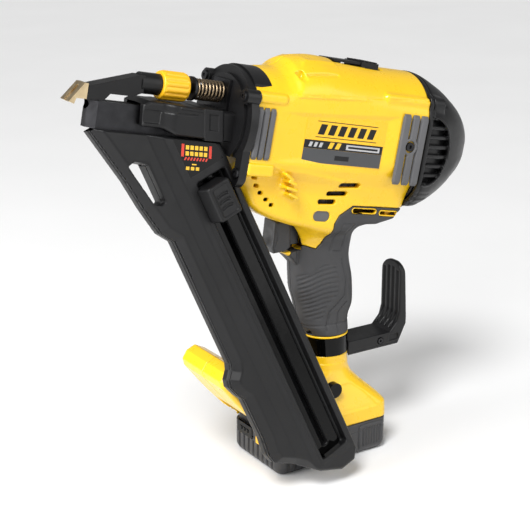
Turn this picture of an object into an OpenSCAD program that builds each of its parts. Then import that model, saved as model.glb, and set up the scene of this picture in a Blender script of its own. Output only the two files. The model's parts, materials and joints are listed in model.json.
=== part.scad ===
// Cordless framing nailer with an angled strip magazine, standing on its battery pack.
// X runs back, Y to the tool's right, Z up. The origin is the centre of the pack's flat base.

/* [Battery pack] */
// Length of the pack, front to back
pack_len = 116; // [112:1:118]
// Width of the pack
pack_w = 76; // [74:1:77]
// Height of the pack's visible case
pack_case_h = 31; // [29:1:32]

/* [Drive unit] */
// Nose-up pitch of the drive axis, in degrees
pitch = 11.4; // [10.8:0.1:12]
// Where the drive axis crosses the front flange, along X
drive_x = -84; // [-86:1:-82]
// Height of the drive axis at the front flange
drive_z = 309; // [308:1:311]
// Rear end of the yellow housing, along the drive axis
body_end = 172; // [170:1:174]
// Half the width of the housing at its rear end
body_half_w = 43.5; // [43:0.5:44]
// Half the width of the housing at the flange
front_half_w = 37.5; // [37:0.5:38]
// Height of the housing's rear top above the drive axis
body_top = 57; // [56:0.5:58]
// Radius of the housing's round front end
front_top = 42.5; // [42:0.5:43]

/* [Nose] */
// Height of the contact rod above the drive axis
rod_w = 20; // [19.5:0.5:21]
// Radius of the contact rod
rod_r = 4; // [3.5:0.5:4]
// Outer radius of the depth wheel
wheel_r = 11.5; // [11:0.5:12]
// Radius of the nail bore in the nose
nose_bore_r = 4; // [4:0.1:4.2]

/* [Magazine] */
// Lean of the magazine from square to the drive axis, in degrees
lean = 31.5; // [31:0.5:32]
// Cant of the magazine to the left, in degrees
cant = 12; // [12:0.5:12.5]
// Length of the magazine below the drive axis
mag_len = 308; // [304:1:309]
// Half the thickness of the nail channel
channel_t = 4.2; // [4:0.1:4.4]

/* [Hook] */
// Radius of the neck that the hook's collar turns on
neck_r = 17; // [16:0.5:17]
// Outer radius of the collar
collar_r = 20.5; // [20:0.5:21]

/* [Hidden] */
$fn = 64;
run = 0.05;         // radial clearance of a running fit
neck_x = 14;        // axis of the handle's neck
collar_z = [92, 108];
skirt_z = 44.5;     // ceiling over the pack's shoulders, inside the foot
wall = 3;
flywheel_u = 70;
flywheel_w = -30.5;
flywheel_r = 26;
axle_r = 5;
guide_v = 14;       // guide rods' distance from the drive axis
guide_w = 1.5;
guide_r = 3;
arm_pivot_u = 110;
arm_pivot_w = 20;
roller_u = 70;
roller_w = 13;
lever_u = 92;       // pivot of the stall release lever
lever_w = 55;
lever_well = [84, 136];
channel_q = [-85, -25];     // the nail channel, across the magazine
rail_t = 1.8;
track_m = [28, 288];        // the pusher's track, along the magazine

// ---- Frames -------------------------------------------------------------------------------

// The drive frame: x runs back along the drive axis from the flange, z is up off the axis.
module drive() {
    translate([drive_x, 0, drive_z]) rotate([0, pitch, 0]) children();
}

// The magazine frame: x runs back across the magazine, y through it, -z down along it.
module magazine_frame() {
    drive() rotate([-cant, 0, 0]) rotate([0, -lean, 0]) children();
}

// ---- Shared shapes ------------------------------------------------------------------------

module block(low, high) {
    translate(low) cube(high - low);
}

module plate_y(points, y0, y1) {
    translate([0, y1, 0]) rotate([90, 0, 0]) linear_extrude(y1 - y0) polygon(points);
}

module round_rect(x0, x1, y0, y1, r) {
    translate([x0 + r, y0]) square([x1 - x0 - 2 * r, y1 - y0]);
    translate([x0, y0 + r]) square([x1 - x0, y1 - y0 - 2 * r]);
    for (x = [x0 + r, x1 - r], y = [y0 + r, y1 - r]) translate([x, y]) circle(r);
}

module rod_x(r, x0, x1) {
    translate([x0, 0, 0]) rotate([0, 90, 0]) cylinder(r = r, h = x1 - x0);
}

module rod_y(r, y0, y1) {
    translate([0, y1, 0]) rotate([90, 0, 0]) cylinder(r = r, h = y1 - y0);
}

module tube_x(r_out, r_in, x0, x1) {
    difference() {
        rod_x(r_out, x0, x1);
        rod_x(r_in, x0 - 1, x1 + 1);
    }
}

module tube_y(r_out, r_in, y0, y1) {
    difference() {
        rod_y(r_out, y0, y1);
        rod_y(r_in, y0 - 1, y1 + 1);
    }
}

// A slab square to the drive axis, with rounded corners.
module section_x(x0, x1, half_w, z0, z1, r) {
    translate([x0, 0, 0]) rotate([90, 0, 90]) linear_extrude(x1 - x0)
        round_rect(-half_w, half_w, z0, z1, r);
}

module left_half() {
    intersection() {
        children();
        block([-400, -200, -50], [400, 0, 500]);
    }
}

module right_half() {
    intersection() {
        children();
        block([-400, 0, -50], [400, 200, 500]);
    }
}

// A button head screw on the axis y, with its head at -y.
module screw_y(r, head_r, len) {
    difference() {
        union() {
            rod_y(r, 0, len);
            rod_y(head_r, -r, 0);
        }
        rod_y(head_r * 0.45, -r - 1, -r * 0.4, $fn = 6);
    }
}

// ---- Housing ------------------------------------------------------------------------------

body_side = [[2, -47], [2, front_top], [22, front_top], [38, body_top - 2],
    [45, body_top], [body_end, body_top], [body_end, -body_top], [16, -body_top], [8, -54]];
belly_side = [[8, -54], [11, -56], [18, -65], [27, -71], [41, -75], [62, -79], [110, -88],
    [127, -75], [149, -73.5], [166, -68], [body_end, -60], [body_end, -40], [30, -40], [8, -46]];

// The housing tapers in plan. A side frame lies on one side face, with y pointing outwards on
// the right (s = 1) and inwards on the left (s = -1).
taper = atan((body_half_w - front_half_w) / body_end);

module side_frame(s) {
    translate([0, s * front_half_w, 0]) rotate([0, 0, s * taper]) children();
}

// The barrel's cross-section: a round top over flat sides that turn in below.
module barrel_section(g) {
    translate([0, body_top - body_half_w - 0.5]) circle(body_half_w + 0.5 - g);
    for (s = [-1, 1]) polygon([[0, 13], [s * (body_half_w - g), 13], [s * (body_half_w - g), -35],
        [s * (33 - g), -46], [s * (28 - g), g - body_top], [0, g - body_top]]);
}

module barrel_blank() {
    intersection() {
        plate_y(body_side, -60, 60);
        translate([0, 0, -100]) linear_extrude(200) polygon([[0, -front_half_w],
            [0, front_half_w], [body_end, body_half_w], [body_end, -body_half_w]]);
        rotate([90, 0, 90]) linear_extrude(200) barrel_section(0);
        union() {
            rod_x(front_top, 0, 60);
            block([0, -60, -90], [200, 60, 20]);
            block([19, -60, -90], [200, 60, 90]);
        }
    }
}

module belly_blank(g) {
    intersection() {
        plate_y(belly_side, -30 + g, 30 - g);
        block([8, -40, -100], [200, 40, -40]);
    }
}

module handle_slice(x0, x1, half_y, z, g) {
    translate([0, 0, z]) linear_extrude(0.5)
        round_rect(x0 + g, x1 - g, -half_y + g, half_y - g, 14);
}

module handle_blank(g) {
    hull($fn = 32) {
        handle_slice(-6, 35, 18.5, 110, g);
        handle_slice(-24, 31, 20, 205, g);
    }
    translate([0, 0, 205]) linear_extrude(22) round_rect(g - 24, 31 - g, g - 20, 20 - g, 14);
}

// The part of the handle that the rubber wraps: all of its lower part, and its back above.
module grip_zone() {
    block([-60, -40, 110.3], [60, 40, 182]);
    block([8, -40, 182], [60, 40, 212]);
}

// The rubber's 2.5 mm round the handle.
module grip_shell() {
    intersection() {
        difference() {
            handle_blank(0);
            handle_blank(2.5);
        }
        grip_zone();
    }
}

// The rubber under the back of the housing, as a wedge that runs into the handle.
module grip_wedge() {
    intersection() {
        drive() plate_y([[98, -72], [118, -62], [body_end - 1, -62], [166, -68], [149, -73.5],
            [127, -75], [112, -86], [98, -86]], -30.02, 30.02);
        block([-100, -50, 190], [200, 50, 330]);
    }
}

module foot_blank() {
    hull($fn = 32) {
        translate([neck_x, 0, 74]) cylinder(r = 20.5, h = 4);
        translate([0, 0, pack_case_h + 0.3]) linear_extrude(14)
            round_rect(-pack_len / 2 - 0.5, pack_len / 2 + 0.8, -pack_w / 2, pack_w / 2, 9);
    }
    hull($fn = 32) {
        translate([-97, 0, 97]) rod_y(12, -32, 38);
        translate([-88, 0, 86]) rod_y(12, -32, 38);
        block([-58, -32, 44], [-20, 38, 76]);
    }
    translate([neck_x, 0, 76]) cylinder(r = 20.5, h = collar_z[0] - 76.3);
    translate([neck_x, 0, 88]) cylinder(r = neck_r, h = 22);
    translate([neck_x, 0, collar_z[1] + 0.3]) cylinder(r = collar_r, h = 2);
}

module foot_cavity() {
    block([-70, -pack_w / 2 + 2.2, 20], [56.5, pack_w / 2 - 2.2, skirt_z]);
    block([-90, -28, 20], [44, 28, 59]);
    translate([neck_x, 0, 55]) cylinder(r = 12, h = 65);
    block([-40, -24, 58], [-12, 24, 70]);
}

module housing_outer() {
    drive() {
        barrel_blank();
        belly_blank(0);
    }
    handle_blank(0);
    foot_blank();
    // The lip below the trigger
    plate_y([[-35, 190.4], [-20, 190.4], [-20, 181], [-27, 184]], -9, 9);
}

// Everything inside the housing that is hollow.
module housing_hollow() {
    drive() {
        rod_x(front_half_w - 2.5, 5, 60);
        // The driver's way out at the front
        rod_x(7, 0, 8);
        // Room for the contact rod as it goes back
        translate([0, 0, rod_w]) rod_x(rod_r + 0.3, 1, 13);
        difference() {
            intersection() {
                block([40, -body_half_w, -54], [body_end + 1, body_half_w, body_top]);
                rotate([90, 0, 90]) linear_extrude(200) barrel_section(6.5);
            }
            block([lever_well[0] - 2, -15, 50], [lever_well[1] + 2, 15, 60]);
        }
        // The stall release lever's well in the top
        block([lever_well[0], -13, lever_w - 2.7], [lever_well[1], 13, 70]);
        section_x(26, body_end - 14, 27, -67, -45, 6);
        // The lock-off button's way through, from side to side
        lock_off_bar(0.3, -50, 50);
        vent_slots();
        front_vents();
    }
    // The handle's wiring and switch space, and the trigger's pocket
    block([-12, -13, 112], [22, 13, 222]);
    block([-40, -10.2, 190.7], [-10, 10.2, 220]);
    foot_cavity();
}

// Three slanted air slots on each side, above the handle.
module vent_slots() {
    for (i = [0:2], s = [-1, 1]) {
        translate([108 - 9.5 * i, s * 38, -42 - 8 * i]) rotate([0, 4, 0])
            block([-9, -9, -1.7], [9, 9, 1.7]);
    }
}

// A row of small air holes on each side, low at the front.
module front_vents() {
    for (i = [0:4], s = [-1, 1]) {
        translate([15 + 4.6 * i, s * 32, -43 - 5.2 * i]) block([-2.2, -12, -1.6], [2.2, 12, 1.6]);
    }
}

module housing() {
    difference() {
        housing_outer();
        housing_hollow();
        drive() {
            pad_pockets();
            screw_holes();
            plate_recess();
        }
        grip_wedge();
        grip_shell();
        // Room for the magazine's upper end, and the seat of its lower bolt
        magazine_frame() block([-60, -19, -80], [-22.9, 9, -20]);
        translate([1, 0, 67]) {
            rod_y(7, -40, -30);
            rod_y(3.02, -31, -23.9);
        }
    }
}

module screw_holes() {
    for (s = [-1, 1]) {
        translate([45, s * 30, 42]) rod_y(4.5, -8, 8);
        translate([45, s * 19, 42]) rod_y(1.62, -3.2, 3.2);
        translate([156, s * 38, -3]) rod_y(2.02, -5, 5);
    }
}

// Pockets of the ribbed side pads, 1.6 mm deep.
module pad_pockets() {
    for (s = [-1, 1]) side_frame(s) {
        block([2.5, -1.6, -25], [19, 1.6, 15]);
        block([142, -1.6, -36], [170.5, 1.6, 25]);
    }
}

// Recess of the name plate, 0.6 mm deep.
module plate_recess() {
    for (s = [-1, 1]) side_frame(s) block([51, -0.6, -24], [129, 0.6, 14]);
}

module housing_left() {
    color("gold") left_half() housing();
}

module housing_right() {
    color("gold") right_half() housing();
}

module grip() {
    difference() {
        grip_shell();
        block([-60, -12, 183], [8, 12, 230]);
        drive() block([26, -27.2, -67], [body_end, 27.2, -45]);
    }
    difference() {
        grip_wedge();
        handle_blank(0);
        drive() section_x(26, body_end - 14, 27, -67, -45, 6);
    }
}

module grip_left() {
    color("dimgray") left_half() grip();
}

module grip_right() {
    color("dimgray") right_half() grip();
}

// Ribbed rubber pads near the flange, one on each side.
module front_pads() {
    color("gray") drive() for (s = [-1, 1]) side_frame(s) {
        block([2.5, s > 0 ? -1.6 : 0, -25], [19, s > 0 ? 0 : 1.6, 15]);
        for (u = [2.5, 8, 13.5]) block([u, -1.4, -25], [u + 4.2, 1.4, 15]);
    }
}

// Ribbed rubber pads near the rear cap, each with a screw's counterbore.
module rear_pads() {
    color("gray") drive() for (s = [-1, 1]) side_frame(s) difference() {
        union() {
            block([142, s > 0 ? -1.6 : 0, -36], [170.5, s > 0 ? 0 : 1.6, 25]);
            for (u = [142, 152, 162]) block([u, -1.4, -36], [u + 7, 1.4, 25]);
        }
        translate([156, 0, -3]) rod_y(5, -6, 6);
    }
}

// Name plates without lettering, one on each side.
module label_plates() {
    color("orange") drive() for (s = [-1, 1]) side_frame(s)
        block([51.3, s > 0 ? -0.6 : -0.2, -23.7], [128.7, s > 0 ? 0.2 : 0.6, 13.7]);
}

module housing_screws() {
    color("dimgray") drive() {
        for (s = [-1, 1]) translate([156, s * 41.5, -3]) rotate([0, 0, s > 0 ? 180 : 0])
            screw_y(2, 3.8, 8);
        for (s = [-1, 1]) translate([45, s * 22, 42]) rotate([0, 0, s > 0 ? 180 : 0])
            screw_y(1.6, 3.4, 6);
    }
}

// ---- Front flange and rear cap ------------------------------------------------------------

module front_flange() {
    color("#222222") drive() difference() {
        union() {
            rod_x(front_top, -5, 2);
            section_x(-5, 2, front_half_w, -50, 10, 10);
            rod_x(36, -8, -4);
            // The collar that laps over the top of the housing
            intersection() {
                tube_x(front_top + 1.4, front_top + 0.05, 1, 17);
                block([1, -30, 25], [17, 30, 60]);
            }
            for (v = [-35, 26]) translate([0, v, v < 0 ? 22 : 30]) rod_x(6, -10, 2);
        }
        // Room for the magazine's top behind the nose
        block([-20, -29, -70], [10, 16, -27]);
        rod_x(5, -20, 10);
        translate([0, 0, rod_w]) rod_x(rod_r + 0.3, -20, 10);
        for (v = [-35, 26]) translate([0, v, v < 0 ? 22 : 30]) rod_x(2.2, -20, 10);
        for (v = [-33, 31]) translate([0, v, -38]) rod_x(2.2, -20, 10);
    }
}

module flange_screws() {
    color("silver") drive() {
        for (v = [-35, 26]) translate([-10, v, v < 0 ? 22 : 30]) rotate([0, 0, -90])
            screw_y(2, 4, 11);
        for (v = [-33, 31]) translate([-5, v, -38]) rotate([0, 0, -90]) screw_y(2, 4, 6.5);
    }
}

module cap_blank(g) {
    hull($fn = 48) {
        translate([body_end + 0.2, 0, 0]) rotate([90, 0, 90]) linear_extrude(4) barrel_section(g - 1);
        translate([185, 0, 0]) rotate([90, 0, 90]) linear_extrude(2) barrel_section(g + 1);
        section_x(204, 206, 38 - g, g - 51, 47 - g, 32);
        section_x(226, 228, 30 - g, g - 40, 35 - g, 27);
        section_x(242 - g, 244 - g, 19 - g, g - 27, 20 - g, 17);
    }
}

module rear_cap() {
    color("#222222") drive() difference() {
        cap_blank(0);
        translate([-3, 0, 0]) cap_blank(2.5);
        // Louvred air outlets, one half-moon on each side
        for (i = [-3:3]) {
            reach = 204 - i * i;
            block([182, -60, 7.5 * i - 6.2], [reach, 60, 7.5 * i - 1.4]);
        }
        translate([240, 0, -4]) rod_x(8, -5, 20);
    }
}

// The yellow end cover over the middle of the cap.
module rear_cover() {
    color("gold") drive() difference() {
        section_x(244.1, 250.5, 15, -20, 13, 14);
        section_x(244, 247.5, 12, -17, 10, 11);
    }
    color("gold") drive() translate([0, 0, -4]) rod_x(7.9, 239, 248);
}

// ---- Drive train --------------------------------------------------------------------------

module drive_chassis() {
    color("silver") drive() difference() {
        union() {
            for (s = [-1, 1]) translate([0, s * 22.5, 0]) {
                block([8, -2.5, -22], [160, 2.5, 24]);
                block([45, -2.5, -44], [95, 2.5, -21]);
            }
            block([8, -20.1, -18], [14, 20.1, 15]);
            block([150, -20.1, -18], [156, 20.1, 15]);
        }
        rod_x(5, 0, 20);
        for (s = [-1, 1]) translate([0, s * guide_v, guide_w]) rod_x(guide_r, 7, 165);
        translate([flywheel_u, 0, flywheel_w]) rod_y(axle_r, -30, 30);
        translate([arm_pivot_u, 0, arm_pivot_w]) rod_y(3 + run, -30, 30);
        for (s = [-1, 1]) translate([28, s * 22.5, -10]) rod_y(4, -5, 5);
    }
}

module motor_stator() {
    color("#a85a2a") drive() translate([flywheel_u, 0, flywheel_w]) {
        difference() {
            union() {
                rod_y(10, -10, 7);
                for (a = [0:60:300]) rotate([0, a, 0]) {
                    block([8, -8, -2.2], [17, 6, 2.2]);
                    block([16, -9, -5.5], [19.5, 7, 5.5]);
                }
            }
            rod_y(axle_r, -11, 8);
        }
    }
}

module flywheel_axle() {
    color("silver") drive() translate([flywheel_u, 0, flywheel_w]) rod_y(axle_r, -27, 27);
}

module flywheel_bearings() {
    color("lightgray") drive() translate([flywheel_u, 0, flywheel_w]) {
        tube_y(9, axle_r, 8.5, 12);
        tube_y(9, axle_r, 12.5, 16);
    }
}

module flywheel() {
    color("slategray") drive() translate([flywheel_u, 0, flywheel_w]) difference() {
        rod_y(flywheel_r, -13, 16);
        rod_y(21.5, -14, 8);
        rod_y(9 + run, 7, 17);
        for (y = [-6, 0, 6]) tube_y(flywheel_r + 1, flywheel_r - 1.2, y - 1, y + 1);
    }
}

module guide_rods() {
    color("silver") drive() for (s = [-1, 1]) translate([0, s * guide_v, guide_w])
        rod_x(guide_r, 8, 156);
}

module return_springs() {
    color("gray") drive() for (s = [-1, 1]) translate([0, s * guide_v, guide_w])
        tube_x(5, guide_r + 0.4, 14.5, 117.5);
}

module driver_bumper() {
    color("#333333") drive() tube_x(8, 4.2, 14.1, 20);
}

module driver_blade() {
    color("lightgray") drive() rod_x(3.4, -28, 118.5);
}

module driver_carriage() {
    color("gray") drive() difference() {
        block([118.5, -19, -3.4], [141, 19, 7]);
        block([110, -10.2, 3.4], [150, 10.2, 12]);
        for (s = [-1, 1]) translate([0, s * guide_v, guide_w]) rod_x(guide_r + run, 110, 150);
    }
}

module pinch_arm() {
    color("dimgray") drive() {
        difference() {
            union() {
                for (s = [-1, 1]) translate([0, s * 12, 0])
                    plate_y([[64, 9.6], [64, 20], [105, 26], [115, 26], [115, 14], [105, 14]], -2, 2);
                block([76, -11, 18], [88, 11, 21.5]);
            }
            translate([roller_u, 0, roller_w]) rod_y(2.6, -20, 20);
        }
        translate([arm_pivot_u, 0, arm_pivot_w]) {
            rod_y(3, -24, 24);
            rod_y(5, -14, 14);
        }
    }
}

module pinch_roller() {
    color("lightgray") drive() translate([roller_u, 0, roller_w]) {
        rod_y(7.6, -9.5, 9.5);
        rod_y(2.55, -14, 14);
    }
}

module actuator_solenoid() {
    color("#7a4a22") drive() difference() {
        union() {
            block([72, -10, 29], [92, 10, 46]);
            block([70, -25, 36], [97, 25, 38.5]);
            for (s = [-1, 1]) translate([0, s * 22.5, 0]) block([70, -2.5, 24], [97, 2.5, 38.5]);
        }
        translate([82, 0, 20]) cylinder(r = 5 + run, h = 24);
    }
}

module solenoid_plunger() {
    color("silver") drive() translate([82, 0, 21.8]) cylinder(r = 5, h = 20);
}

module control_board() {
    color("darkgreen") drive() {
        block([108, -22, -50], [155, 22, -48.4]);
        for (u = [114, 126, 138]) translate([u, 0, -48.5]) cylinder(r = 5, h = 14);
        block([146, -16, -48.5], [152, 16, -40]);
    }
}

// ---- Trigger, buttons and wiring ----------------------------------------------------------

module trigger() {
    color("#333333") difference() {
        union() {
            plate_y([[-47, 197], [-45, 191.5], [-33, 191.5], [-28, 195], [-28, 219.5], [-44, 219.5]],
                -9.5, 9.5);
            block([-30, -6, 196], [-19, 6, 214]);
        }
        translate([-57, 0, 207]) rod_y(13, -20, 20);
    }
}

module trigger_switch() {
    color("black") {
        block([-7.5, -9, 190], [12, 9, 216]);
        translate([0, 0, 205]) rod_x(3, -11.5, -7);
    }
}

module lock_off_button() {
    color("gray") drive() lock_off_bar(0, -29, 33);
}

module lock_off_bar(g, y0, y1) {
    translate([0, y1, 0]) rotate([90, 0, 0]) linear_extrude(y1 - y0)
        round_rect(79.5 - g, 95.5 + g, -73.5 - g, -64.5 + g, 4.2 + g);
}

module terminal_block() {
    color("black") {
        block([33, -20, 47], [44, 20, 59]);
        for (y = [-15, -5, 5, 15]) block([22, y - 0.4, 49], [34, y + 0.4, 55]);
    }
}

module wiring_harness() {
    color("firebrick") for (y = [-6, 6]) translate([16, y, 59]) cylinder(r = 1.6, h = 145);
}

module release_lever() {
    color("#222222") drive() {
        difference() {
            union() {
                block([86, -11, 57], [116, 11, 59]);
                block([114, -12, 53], [132, 12, 59.5]);
                translate([lever_u, 0, lever_w]) rod_y(2.6, -9, 9);
                block([lever_u - 2.6, -9, lever_w], [lever_u + 2.6, 9, 58]);
            }
            translate([lever_u, 0, lever_w]) rod_y(1.5 + run, -20, 20);
        }
        for (u = [116, 120, 124, 128]) block([u, -12, 59], [u + 2, 12, 60.5]);
    }
}

module lever_pin() {
    color("silver") drive() translate([lever_u, 0, lever_w]) rod_y(1.5, -13, 13);
}

// ---- Nose and contact trip ----------------------------------------------------------------

module nose_body() {
    color("#3a3a3a") drive() difference() {
        block([-125, -9, -17], [-8, 9, 3.4]);
        rod_x(nose_bore_r, -130, 0);
        // The slot through which nails rise out of the magazine
        block([-117, -channel_t, -30], [-32, channel_t, 0]);
        for (s = [-1, 1]) translate([-126, s * 9, -17]) rotate([0, 0, 45])
            block([-5, -5, -5], [5, 5, 30]);
    }
}

// The plastic cover that wraps the nose behind the contact arm.
module nose_cover() {
    color("#2a2a2a") drive() difference() {
        union() {
            block([-78, -23, -17], [-8, 23, 6]);
            plate_y([[-86, -11], [-78, -17], [-78, 6], [-86, 6]], -19, 19);
        }
        block([-90, -9.1, -20], [0, 9.1, 3.5]);
    }
}

module nose_clip() {
    color("#1c1c1c") drive() {
        block([-34, -24.6, 6], [-18, 24.6, 8.1]);
        for (s = [-1, 1]) plate_y([[-38, -15], [-20, -15], [-18, 8.1], [-34, 8.1]],
            s * 23.8 - 0.8, s * 23.8 + 0.8);
    }
}

module spring_bracket() {
    color("#2a2a2a") drive() difference() {
        union() {
            block([-10.5, -12, 6], [-8, 12, 31]);
            block([-16, -12, 6], [-8, 12, 8]);
        }
        translate([0, 0, rod_w]) rod_x(rod_r + 0.1, -20, 0);
    }
}

module contact_rod() {
    color("#444444") drive() translate([0, 0, rod_w]) {
        rod_x(rod_r, -62, 1);
        tube_x(9.5, rod_r - 0.1, -38.7, -36.5);
    }
}

module depth_wheel() {
    color("gold") drive() translate([0, 0, rod_w]) difference() {
        rod_x(wheel_r, -64, -39);
        rod_x(6 + run, -65, -50);
        rod_x(rod_r + run, -66, -38);
        for (a = [0:30:330]) rotate([a, 0, 0]) translate([0, 0, wheel_r + 0.9]) rod_x(1.8, -66, -38);
    }
}

module contact_arm() {
    color("#2a2a2a") drive() {
        difference() {
            union() {
                translate([0, 0, rod_w]) rod_x(8.2, -84, -64.2);
                translate([0, 0, rod_w]) rod_x(6, -65, -51);
                plate_y([[-128, 5], [-127, 14], [-86, 26], [-82, 26], [-82, 13], [-90, 9.5],
                    [-109, 9.5], [-114, 3.8], [-127, 3.8]], -7, 7);
            }
            translate([0, 0, rod_w]) rod_x(rod_r + 0.1, -70, -40);
        }
    }
}

// The toothed steel foot that is pressed against the work.
module contact_foot() {
    color("tan") drive() difference() {
        plate_y([[-142, 1], [-131, 15.5], [-128, 15.5], [-128, 3.9], [-136.2, 3.9], [-137.5, -0.5]],
            -7.5, 7.5);
        block([-150, -2, -5], [-132.5, 2, 20]);
    }
}

module contact_spring() {
    color("darkgoldenrod") drive() translate([0, 0, rod_w]) tube_x(7.5, 5, -36.2, -10.8);
}

// ---- Magazine -----------------------------------------------------------------------------

// Outline of the magazine, across (x) and down (y).
mag_outline = [[-23.3, -70], [-118.5, -70], [-116.5, -54], [-106, 0], [-103, 26], [-98.5, 50],
    [-92.5, 60], [-91.5, 95], [-92, 178], [-94.5, 206], [-94.8, 262], [-91, 270], [-80, 280],
    [-64, mag_len - 11], [-46, mag_len], [-31, mag_len], [-23.3, mag_len - 8]];

// Cross-section of the left half; the right half is thinner because the pack is beside it.
left_section = [[-120, -channel_t], [-120, -11], [-77.5, -11], [-68.5, -17], [-23.3, -17],
    [-23.3, -channel_t]];
right_section = [[-120, -channel_t], [-120, 7], [-23.3, 7], [-23.3, -channel_t]];

module down(z0, z1) {
    translate([0, 0, -z1]) linear_extrude(z1 - z0) children();
}

module mag_blank(section) {
    intersection() {
        down(-70, mag_len) polygon(section);
        union() {
            plate_y([for (p = mag_outline) [p[0], -p[1]]], -20, 20);
            translate([-88, 0, -192]) rod_y(14, -20, 20);
        }
    }
}

// Cuts the magazine's top off along the underside of the nose.
module nose_line() {
    drive() block([-200, -60, -17.1], [80, 60, 80]);
}

// The tapered window in the wing.
module wing_window() {
    plate_y([[-100, 8], [-95, 11], [-87, 3], [-87, -29], [-90, -29], [-95, -25]], -30, 30);
}

module magazine_left() {
    color("#2a2a2a") difference() {
        magazine_frame() difference() {
            mag_blank(left_section);
            // Recess of the pusher's track, and the slot for its neck
            down(track_m[0], track_m[1]) translate([-58, -30]) square([22.3, 21]);
            down(track_m[0], track_m[1] - 6) translate([-50, -30]) square([6, 40]);
            wing_window();
        }
        nose_line();
    }
}

module right_half_of_magazine() {
    difference() {
        magazine_frame() difference() {
            mag_blank(right_section);
            // The nail channel, open at the lower end
            down(-80, 320) translate([channel_q[0], -channel_t - 1])
                square([channel_q[1] - channel_q[0], 2 * channel_t + 1]);
            wing_window();
        }
        nose_line();
    }
}

// The plate and the rear wall beside the nail channel.
module magazine_right() {
    color("#2a2a2a") difference() {
        right_half_of_magazine();
        magazine_frame() wing_side();
    }
}

// The half's front part, before the nail channel.
module magazine_wing() {
    color("#2a2a2a") intersection() {
        right_half_of_magazine();
        magazine_frame() wing_side();
    }
}

module wing_side() {
    block([-140, -30, -330], [channel_q[0], 30, 100]);
}

// Two steel strips that line the nail channel, one under the heads and one at the points.
module magazine_rail() {
    color("dimgray") difference() {
        magazine_frame() {
            down(-60, 265) translate([channel_q[0], -channel_t]) square([rail_t, 2 * channel_t]);
            down(0, 295) translate([channel_q[1] - rail_t, -channel_t])
                square([rail_t, 2 * channel_t]);
        }
        nose_line();
    }
}

// The bar that stops the pusher at the lower end of its track.
module track_stop() {
    color("#1c1c1c") magazine_frame()
        translate([-55.5, -16.2, -track_m[1]]) cube([17.5, 7.2, 3.2]);
}

module magazine_bracket() {
    color("#2a2a2a") difference() {
        union() {
            translate([-84, 0, 92]) rod_y(9, -40, -32.05);
            translate([-62, 0, 74]) rod_y(7, -42, -32.05);
        }
        magazine_frame() block([-130, -60, -320], [-10, 7, 60]);
    }
}

module magazine_bolts() {
    color("black") translate([1, 0, 67]) {
        rod_y(6.8, -36, -30);
        rod_y(3, -31, -24);
    }
}

module pusher() {
    color("dimgray") magazine_frame() difference() {
        union() {
            down(32, 60) translate([channel_q[0] + 2.3, -channel_t + 0.4])
                square([channel_q[1] - channel_q[0] - 4.6, 2 * channel_t - 0.8]);
            down(34, 58) translate([-49.6, -9.5]) square([5.2, 8]);
        }
        translate([-60, 0, -46]) rod_y(5, -5, 5);
    }
}

module pusher_knob() {
    color("#2a2a2a") magazine_frame() difference() {
        down(32, 62) polygon([[-57.5, -9.5], [-57.5, -17], [-61, -17.3], [-59, -30], [-38.5, -30],
            [-36.2, -17.3], [-36.2, -9.5]]);
        for (m = [42, 47, 52]) translate([-49, -31, -m]) rotate([0, 90, 0])
            cylinder(r = 2, h = 14, center = true);
    }
}

// ---- Rafter hook --------------------------------------------------------------------------

module rafter_hook() {
    color("#222222") difference() {
        plate_y([[32, 86], [86, 86], [95, 104], [95, 112], [92.5, 155], [91, 161.5], [88.5, 161.5],
            [87.2, 155], [87.2, 113], [77, 98.5], [32, 98.5]], -14, 14);
        translate([neck_x, 0, 80]) cylinder(r = collar_r, h = 30);
        translate([neck_x, 0, 80]) cylinder(r = collar_r + 0.4, h = collar_z[0] - 80);
        for (y = [-9, -3, 3, 9]) block([86, y - 1, 112], [88.4, y + 1, 153]);
        translate([66, 0, 92.5]) rod_y(2.6, -19, 19);
    }
}

module hook_collar() {
    color("black") difference() {
        translate([neck_x, 0, collar_z[0]]) cylinder(r = collar_r, h = collar_z[1] - collar_z[0]);
        translate([neck_x, 0, 80]) cylinder(r = neck_r + run, h = 40);
    }
}

module hook_screw() {
    color("silver") translate([66, -12, 92.5]) screw_y(2.5, 2.58, 24);
}

// ---- Battery pack -------------------------------------------------------------------------

module pack_outline(x0, x1, half, r) {
    round_rect(x0, x1, -half, half, r);
}

module battery_case() {
    color("#3c3c3c") difference() {
        union() {
            linear_extrude(pack_case_h) pack_outline(-pack_len / 2, pack_len / 2, pack_w / 2, 9);
            // Ribs down the front of the case
            for (y = [-27:9:27]) block([-60, y - 1.5, 3], [-50, y + 1.5, 18]);
        }
        translate([0, 0, 3]) linear_extrude(40) pack_outline(-54, 54, 34.5, 6);
        for (s = [-1, 1]) translate([30, s * 39, 14]) block([-22, -1.6, -11], [22, 1.6, 11]);
        // Seats of the gauge and of the release button
        block([-62, -12, 19.9], [-57, -1.9, 31.1]);
        block([-62, 4.7, 19.9], [-57, 28.9, 31.1]);
    }
}

module battery_top() {
    color("#2a2a2a") difference() {
        union() {
            translate([0, 0, pack_case_h + 0.02]) linear_extrude(13)
                pack_outline(-56, 55, pack_w / 2 - 2.6, 7);
            translate([0, 0, 40]) linear_extrude(18.4) pack_outline(-54, 43, 27.4, 4);
        }
        translate([0, 0, 30]) linear_extrude(11) pack_outline(-53, 52, 33, 5);
        for (s = [-1, 1]) block([-60, s * 27.5 - 3, 46.5], [60, s * 27.5 + 3, 52]);
        for (y = [-15, -5, 5, 15]) block([20, y - 1, 47.5], [50, y + 1, 56.5]);
        block([32.7, -20.4, 46.6], [60, 20.4, 60]);
    }
}

module battery_cells() {
    color("steelblue") for (i = [-2:2]) {
        translate([i * 19.5, 0, 12.6]) rod_y(9.2, -33, 33);
    }
    color("steelblue") for (i = [-2:2]) {
        translate([i * 19.5, 0, 31.2]) rod_y(9.2, -32, 32);
    }
}

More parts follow.
